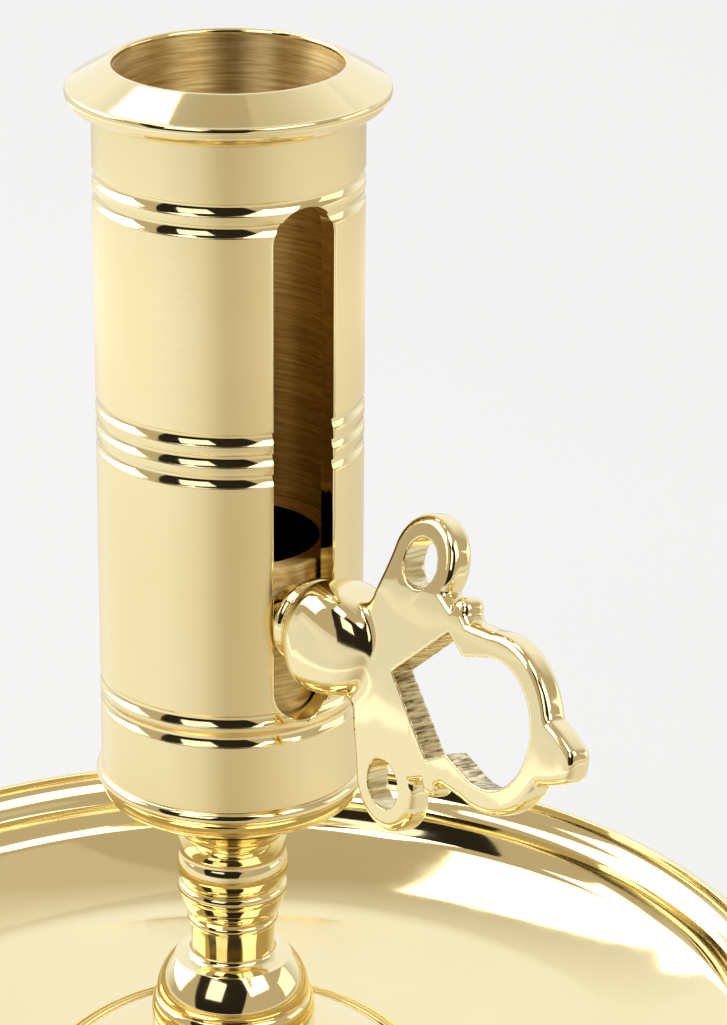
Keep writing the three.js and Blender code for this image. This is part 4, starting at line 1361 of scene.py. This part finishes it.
class CANDLESTICK_OT_cup(bpy.types.Operator):
    """Turn the follower cup, and fit its screw, leaf and rivet"""

    bl_idname = "candlestick.cup"
    bl_label = "Follower Cup"

    def execute(self, context):
        scene = context.scene
        metal = brasses(scene)
        sizes = scene.candlestick_ejector
        pocket_floor = CUP_RADIUS - sizes.pocket_depth
        middle = (CUP_FOOT + CUP_TOP) / 2
        pocket_ends = 2.0 * MM
        pocket_gap = 0.6 * MM
        pocket_length = CUP_TOP - CUP_FOOT - pocket_ends
        leaf_length = pocket_length - pocket_gap
        low, high = BOX["spring_rivet"]
        rivet_height = (low.z + high.z) / 2
        reach = 4.0 * MM
        leaf_inside = -8.0 * MM
        pocket_size = (2 * sizes.pocket_depth, sizes.leaf_width + pocket_gap, pocket_length)
        cutters = [
            cross_pin(sizes.screw_radius + SCREW_GAP, CUP_RADIUS - reach, CUP_RADIUS + MM, NECK_HEIGHT),
            block(pocket_size, (-pocket_floor - sizes.pocket_depth, 0.0, middle)),
            cross_pin(sizes.rivet_radius + RIVET_GAP, -CUP_RADIUS - MM, reach - CUP_RADIUS, rivet_height),
        ]
        cup = turned(cup_profile(sizes), FINE_STEPS, closed=False, height=CUP_FOOT)
        inside = CUP_RADIUS - sizes.cup_wall + 0.05 * MM
        brim = CUP_TOP - 0.3 * MM
        # The inside of the cup gets the near-black painted shade.
        paint(cup, lambda r, z, normal: 1 if r < inside and CUP_FOOT + MM < z < brim else 0)
        cup = combined(cup, cutters, "DIFFERENCE")
        finishes = [metal["turned brass"], metal["painted shade brass"]]
        piece("cup", cup, MOVING, "follower_cup", finishes)
        leaf = leaf_shape(sizes, pocket_floor, middle, leaf_length)
        hole = cross_pin(sizes.rivet_radius + RIVET_GAP, -CUP_RADIUS - MM, leaf_inside, rivet_height)
        leaf = combined(leaf, [hole], "DIFFERENCE")
        piece("leaf", leaf, MOVING, "friction_spring", [metal["steel"]])
        piece("screw", screw_shape(sizes), MOVING, "ejector_screw", [metal["steel"]])
        piece("rivet", rivet_shape(sizes), MOVING, "spring_rivet", [metal["satin brass"]])
        return {"FINISHED"}


class CANDLESTICK_OT_thumb(bpy.types.Operator):
    """Cast the thumb piece: neck, bulb and pierced plate"""

    bl_idname = "candlestick.thumb"
    bl_label = "Thumb Piece"

    def execute(self, context):
        metal = brasses(context.scene)
        sizes = context.scene.candlestick_ejector
        shape = thumb_shape(sizes)
        piece("thumb", shape, MOVING, "thumb_piece", [metal["cast brass"]], sharp=False)
        return {"FINISHED"}


class CANDLESTICK_OT_tie(bpy.types.Operator):
    """Fit the tie rod, its washers and its nut under the dish"""

    bl_idname = "candlestick.tie"
    bl_label = "Tie Rod"

    def execute(self, context):
        finishes = [brasses(context.scene)["steel"]]
        sizes = context.scene.candlestick_tie
        rod = turned(rod_profile(sizes), SMALL_STEPS, closed=False)
        piece("rod", rod, MAIN, "tie_rod", finishes)
        piece("washer", flat_ring("tie_washer", sizes), MAIN, "tie_washer", finishes)
        low, high = BOX["lock_washer"]
        split = block((2 * high.x, sizes.lock_split, 0.1), (high.x, 0.0, (low.z + high.z) / 2))
        lock = combined(flat_ring("lock_washer", sizes), [split], "DIFFERENCE")
        piece("spring_ring", lock, MAIN, "lock_washer", finishes)
        piece("nut", nut_shape(sizes), MAIN, "tie_nut", finishes)
        return {"FINISHED"}


def round_camera(stage, degrees, distance, height):
    """A place round the object, counted from the camera's side towards its right."""
    turn = stage.heading + math.radians(degrees)
    return Vector((distance * math.sin(turn), -distance * math.cos(turn), height))


def towards(place, aim, axis):
    """A place turned so that one axis points at an aim."""
    return Matrix.Translation(place) @ (aim - place).to_track_quat(axis, "Y").to_matrix().to_4x4()


def panel_card(name, size, stand, material):
    """A flat card, stood by a matrix."""
    shape = bmesh.new()
    bmesh.ops.create_grid(shape, x_segments=1, y_segments=1, size=0.5)
    bmesh.ops.scale(shape, vec=(*size, 1.0), verts=shape.verts)
    shape.transform(stand)
    return stage_object(name, shape, material)


def stage_object(name, shape, material):
    """An object of the stage."""
    obj = new_object(name, shape, [material])
    return obj


def seen_only_in_metal(card):
    """Leaves a card to be seen in reflections alone."""
    card.visible_camera = False
    card.visible_diffuse = False
    card.visible_shadow = False


def dark_cloth():
    """Dull black cloth for the card in front of the object."""
    material, tree, shader = new_material("dark cloth")
    weave = noise(tree, object_place(tree), 40.0)
    base = tones(tree, weave, (0.012, 0.010, 0.008), (0.03, 0.026, 0.02))
    tree.links.new(base, shader.inputs["Base Color"])
    shader.inputs["Roughness"].default_value = 1.0
    shader.inputs["Specular IOR Level"].default_value = 0.0
    return material


def direct_view(tree):
    """One for rays that come from the camera, straight or by a mirror or glass."""
    path = tree.nodes.new("ShaderNodeLightPath")
    total = path.outputs["Is Camera Ray"]
    for name in ("Is Glossy Ray", "Is Transmission Ray"):
        add = computed(tree, "ShaderNodeMath", "ADD", total, path.outputs[name])
        add.use_clamp = True
        total = add.outputs["Value"]
    return total


def pale_floor(stage):
    """A pale floor that keeps an even tone and a part of the object's shadow."""
    material, tree, shader = new_material("pale floor")
    grain = noise(tree, object_place(tree), 6.0)
    tone = Vector(stage.floor_tone)
    base = tones(tree, grain, tone * 0.99, tone)
    tree.links.new(base, shader.inputs["Base Color"])
    shader.inputs["Roughness"].default_value = 0.9
    shader.inputs["Specular IOR Level"].default_value = 0.0
    glow = node(tree, "ShaderNodeEmission", Strength=1.0)
    tree.links.new(base, glow.inputs["Color"])
    scale = computed(tree, "ShaderNodeMath", "MULTIPLY", direct_view(tree), FLOOR_EVENNESS)
    mix = node(tree, "ShaderNodeMixShader")
    tree.links.new(scale.outputs["Value"], mix.inputs["Fac"])
    tree.links.new(shader.outputs["BSDF"], mix.inputs[1])
    tree.links.new(glow.outputs["Emission"], mix.inputs[2])
    tree.links.new(mix.outputs["Shader"], tree.nodes["Material Output"].inputs["Surface"])
    return material


def studio_world(stage):
    """A room that is dim and warm behind the camera, and white behind the object."""
    world = bpy.data.worlds.new("studio")
    world.use_nodes = True
    tree = world.node_tree
    background = tree.nodes["Background"]
    sky = node(tree, "ShaderNodeTexCoord").outputs["Generated"]
    behind = round_camera(stage, 180.0, 0.5, 0.0)
    facing = computed(tree, "ShaderNodeVectorMath", "DOT_PRODUCT", sky, behind).outputs["Value"]
    backness = computed(tree, "ShaderNodeMath", "ADD", facing, 0.5).outputs["Value"]
    stops = ((0.1, stage.front_tone), (0.62, stage.side_tone), (0.86, stage.back_tone))
    tree.links.new(ramp(tree, backness, stops), background.inputs["Color"])
    background.inputs["Strength"].default_value = stage.studio_level
    bpy.context.scene.world = world


class SoftBox(typing.NamedTuple):
    """A soft box: where it stands as seen from the object, its size in metres and its brightness."""

    name: str
    azimuth: float
    elevation: float
    distance: float
    size: tuple
    level: float


SOFT_BOXES = (
    SoftBox("key", -114.0, 25.0, 1.0, (0.95, 0.56), 2.6),
    SoftBox("key_top", -126.5, 53.0, 1.0, (0.36, 0.52), 2.6),
    SoftBox("left_front", -54.0, 63.0, 1.0, (0.34, 0.42), 4.0),
    SoftBox("right_high", 135.0, 60.0, 1.0, (0.50, 0.60), 0.15),
    SoftBox("right_low", 98.0, 13.0, 1.0, (0.50, 0.42), 1.2),
    SoftBox("right_front", 47.0, 45.0, 1.0, (0.58, 0.64), 2.4),
    SoftBox("front_box", -32.0, 34.0, 0.8, (0.36, 0.40), 1.8),
)

# The dark card in front: azimuth, elevation and distance, and its size in metres.
DARK_CARD_PLACE = (-22.5, 29.5, 1.0)
DARK_CARD_SIZE = (1.58, 1.27)

# Rings of the table: name, inner and outer radius in metres, and brightness.
TABLE_RINGS = (
    ("near_table", 0.09, 0.262, 1.0),
    ("middle_table", 0.262, 0.335, 1.3),
    ("far_table", 0.335, 0.6, 0.86),
)

RING_LIFT = 0.5 * MM

# The floor: its size in metres, its place just under the table, and the share of its tone that is even.
FLOOR_SIZE = (8.0, 8.0)
FLOOR_DROP = 0.05 * MM
FLOOR_EVENNESS = 0.8

SENSOR_WIDTH = 36.0


def off_object(stage, azimuth, elevation, distance):
    """A place seen from the middle of the object at an angle from the camera's side and above the table."""
    level = distance * math.cos(math.radians(elevation))
    height = RIM_TOP / 2 + distance * math.sin(math.radians(elevation))
    return round_camera(stage, azimuth, level, height)


def soft_box(stage, box, middle):
    """One rectangular lamp that faces the object."""
    data = bpy.data.lights.new(box.name, "AREA")
    data.shape = "RECTANGLE"
    data.size, data.size_y = box.size
    data.energy = stage.lamp_level * box.level * math.pi * box.size[0] * box.size[1]
    place = off_object(stage, box.azimuth, box.elevation, box.distance)
    obj = bpy.data.objects.new(box.name, data)
    obj.matrix_world = towards(place, middle, "-Z")
    bpy.context.scene.collection.objects.link(obj)


# Brightness of the table by direction, in degrees from the camera's side towards its right.
TABLE_LIGHT = (
    (-180.0, 0.76),
    (-137.0, 1.02),
    (-97.0, 1.00),
    (-55.0, 1.00),
    (-28.0, 0.90),
    (-3.0, 0.60),
    (20.0, 0.67),
    (45.0, 0.82),
    (70.0, 0.88),
    (100.0, 0.86),
    (135.0, 0.80),
    (179.0, 0.76),
)


def warmed(level):
    """A grey of one brightness, the dimmer the warmer."""
    white = min(1.0, max(0.0, (level - 0.5) / 0.5))
    return (level, level * (0.83 + 0.17 * white), level * (0.58 + 0.42 * white))


def lit_table(stage, name, level):
    """The table as the metal mirrors it, brighter on some sides of the object than on others."""
    material, tree, shader = new_material(name)
    turned_place = stretched(tree, object_place(tree), (1, 1, 1), (0, 0, math.pi / 2 - stage.heading))
    sweep = tree.nodes.new("ShaderNodeTexGradient")
    sweep.gradient_type = "RADIAL"
    tree.links.new(turned_place, sweep.inputs["Vector"])
    stops = [(degrees / 360.0 + 0.5, warmed(bright)) for degrees, bright in TABLE_LIGHT]
    glow = node(tree, "ShaderNodeEmission", Strength=stage.table_level * level)
    tree.links.new(ramp(tree, sweep.outputs["Fac"], stops), glow.inputs["Color"])
    tree.links.new(glow.outputs["Emission"], tree.nodes["Material Output"].inputs["Surface"])
    tree.nodes.remove(shader)
    return material


def table_ring(stage, name, inner, outer, level):
    """A flat ring just above the floor, seen in the metal alone."""
    shape = bmesh.new()
    verts, edges = wire(shape, [(inner, 0.0, RING_LIFT), (outer, 0.0, RING_LIFT)], False)
    spin(shape, verts + edges, (0, 0, 0), (0, 0, 1), MEDIUM_STEPS)
    ring = stage_object(name, clean(shape), lit_table(stage, name, level))
    seen_only_in_metal(ring)


def camera_object(stage):
    """The camera as it stood for the photograph."""
    data = bpy.data.cameras.new("camera")
    data.lens = stage.lens
    data.sensor_width = SENSOR_WIDTH
    data.sensor_fit = "AUTO"
    camera = bpy.data.objects.new("camera", data)
    place = round_camera(stage, 0.0, stage.distance, stage.height)
    turn = Matrix.Rotation(stage.heading - stage.aside, 4, "Z")
    tilt = Matrix.Rotation(math.pi / 2 - stage.pitch, 4, "X")
    roll = Matrix.Rotation(stage.roll, 4, "Z")
    camera.matrix_world = Matrix.Translation(place) @ turn @ tilt @ roll
    bpy.context.scene.collection.objects.link(camera)
    return camera


class CANDLESTICK_OT_stage(bpy.types.Operator):
    """Set up the floor, the soft studio light and the camera"""

    bl_idname = "candlestick.stage"
    bl_label = "Stage"

    def execute(self, context):
        scene = context.scene
        stage = scene.candlestick_stage
        middle = Vector((0.0, 0.0, RIM_TOP / 2))
        scene.view_settings.view_transform = "Standard"
        studio_world(stage)
        below = Matrix.Translation((0.0, 0.0, -FLOOR_DROP))
        panel_card("floor", FLOOR_SIZE, below, pale_floor(stage))
        for ring in TABLE_RINGS:
            table_ring(stage, *ring)
        dark_stand = towards(off_object(stage, *DARK_CARD_PLACE), middle, "Z")
        seen_only_in_metal(panel_card("dark_front", DARK_CARD_SIZE, dark_stand, dark_cloth()))
        for box in SOFT_BOXES:
            soft_box(stage, box, middle)
        scene.camera = camera_object(stage)
        return {"FINISHED"}


OPERATORS = (
    CANDLESTICK_OT_dish,
    CANDLESTICK_OT_stem,
    CANDLESTICK_OT_tube,
    CANDLESTICK_OT_cup,
    CANDLESTICK_OT_thumb,
    CANDLESTICK_OT_tie,
    CANDLESTICK_OT_stage,
)


class CANDLESTICK_PT_sidebar(bpy.types.Panel):
    """Buttons that build the candlestick piece by piece"""

    bl_idname = "CANDLESTICK_PT_sidebar"
    bl_label = "Push-up Candlestick"
    bl_space_type = "VIEW_3D"
    bl_region_type = "UI"
    bl_category = "Candlestick"

    def draw(self, context):
        for operator in OPERATORS:
            self.layout.operator(operator.bl_idname)


GROUPS = {
    "candlestick_dish": CANDLESTICK_PG_dish,
    "candlestick_stem": CANDLESTICK_PG_stem,
    "candlestick_tube": CANDLESTICK_PG_tube,
    "candlestick_ejector": CANDLESTICK_PG_ejector,
    "candlestick_tie": CANDLESTICK_PG_tie,
    "candlestick_finish": CANDLESTICK_PG_finish,
    "candlestick_stage": CANDLESTICK_PG_stage,
}


def register():
    """Adds the properties, the operators and the panel."""
    for cls in (*GROUPS.values(), *OPERATORS, CANDLESTICK_PT_sidebar):
        bpy.utils.register_class(cls)
    for name, group in GROUPS.items():
        setattr(bpy.types.Scene, name, bpy.props.PointerProperty(type=group))


def unregister():
    """Takes them away again."""
    for name in GROUPS:
        delattr(bpy.types.Scene, name)
    for cls in (CANDLESTICK_PT_sidebar, *reversed(OPERATORS), *reversed(GROUPS.values())):
        bpy.utils.unregister_class(cls)


def main():
    """Builds the candlestick and its stage."""
    register()
    bpy.ops.candlestick.dish()
    bpy.ops.candlestick.stem()
    bpy.ops.candlestick.tube()
    bpy.ops.candlestick.cup()
    bpy.ops.candlestick.thumb()
    bpy.ops.candlestick.tie()
    bpy.ops.candlestick.stage()


if __name__ == "__main__":
    main()
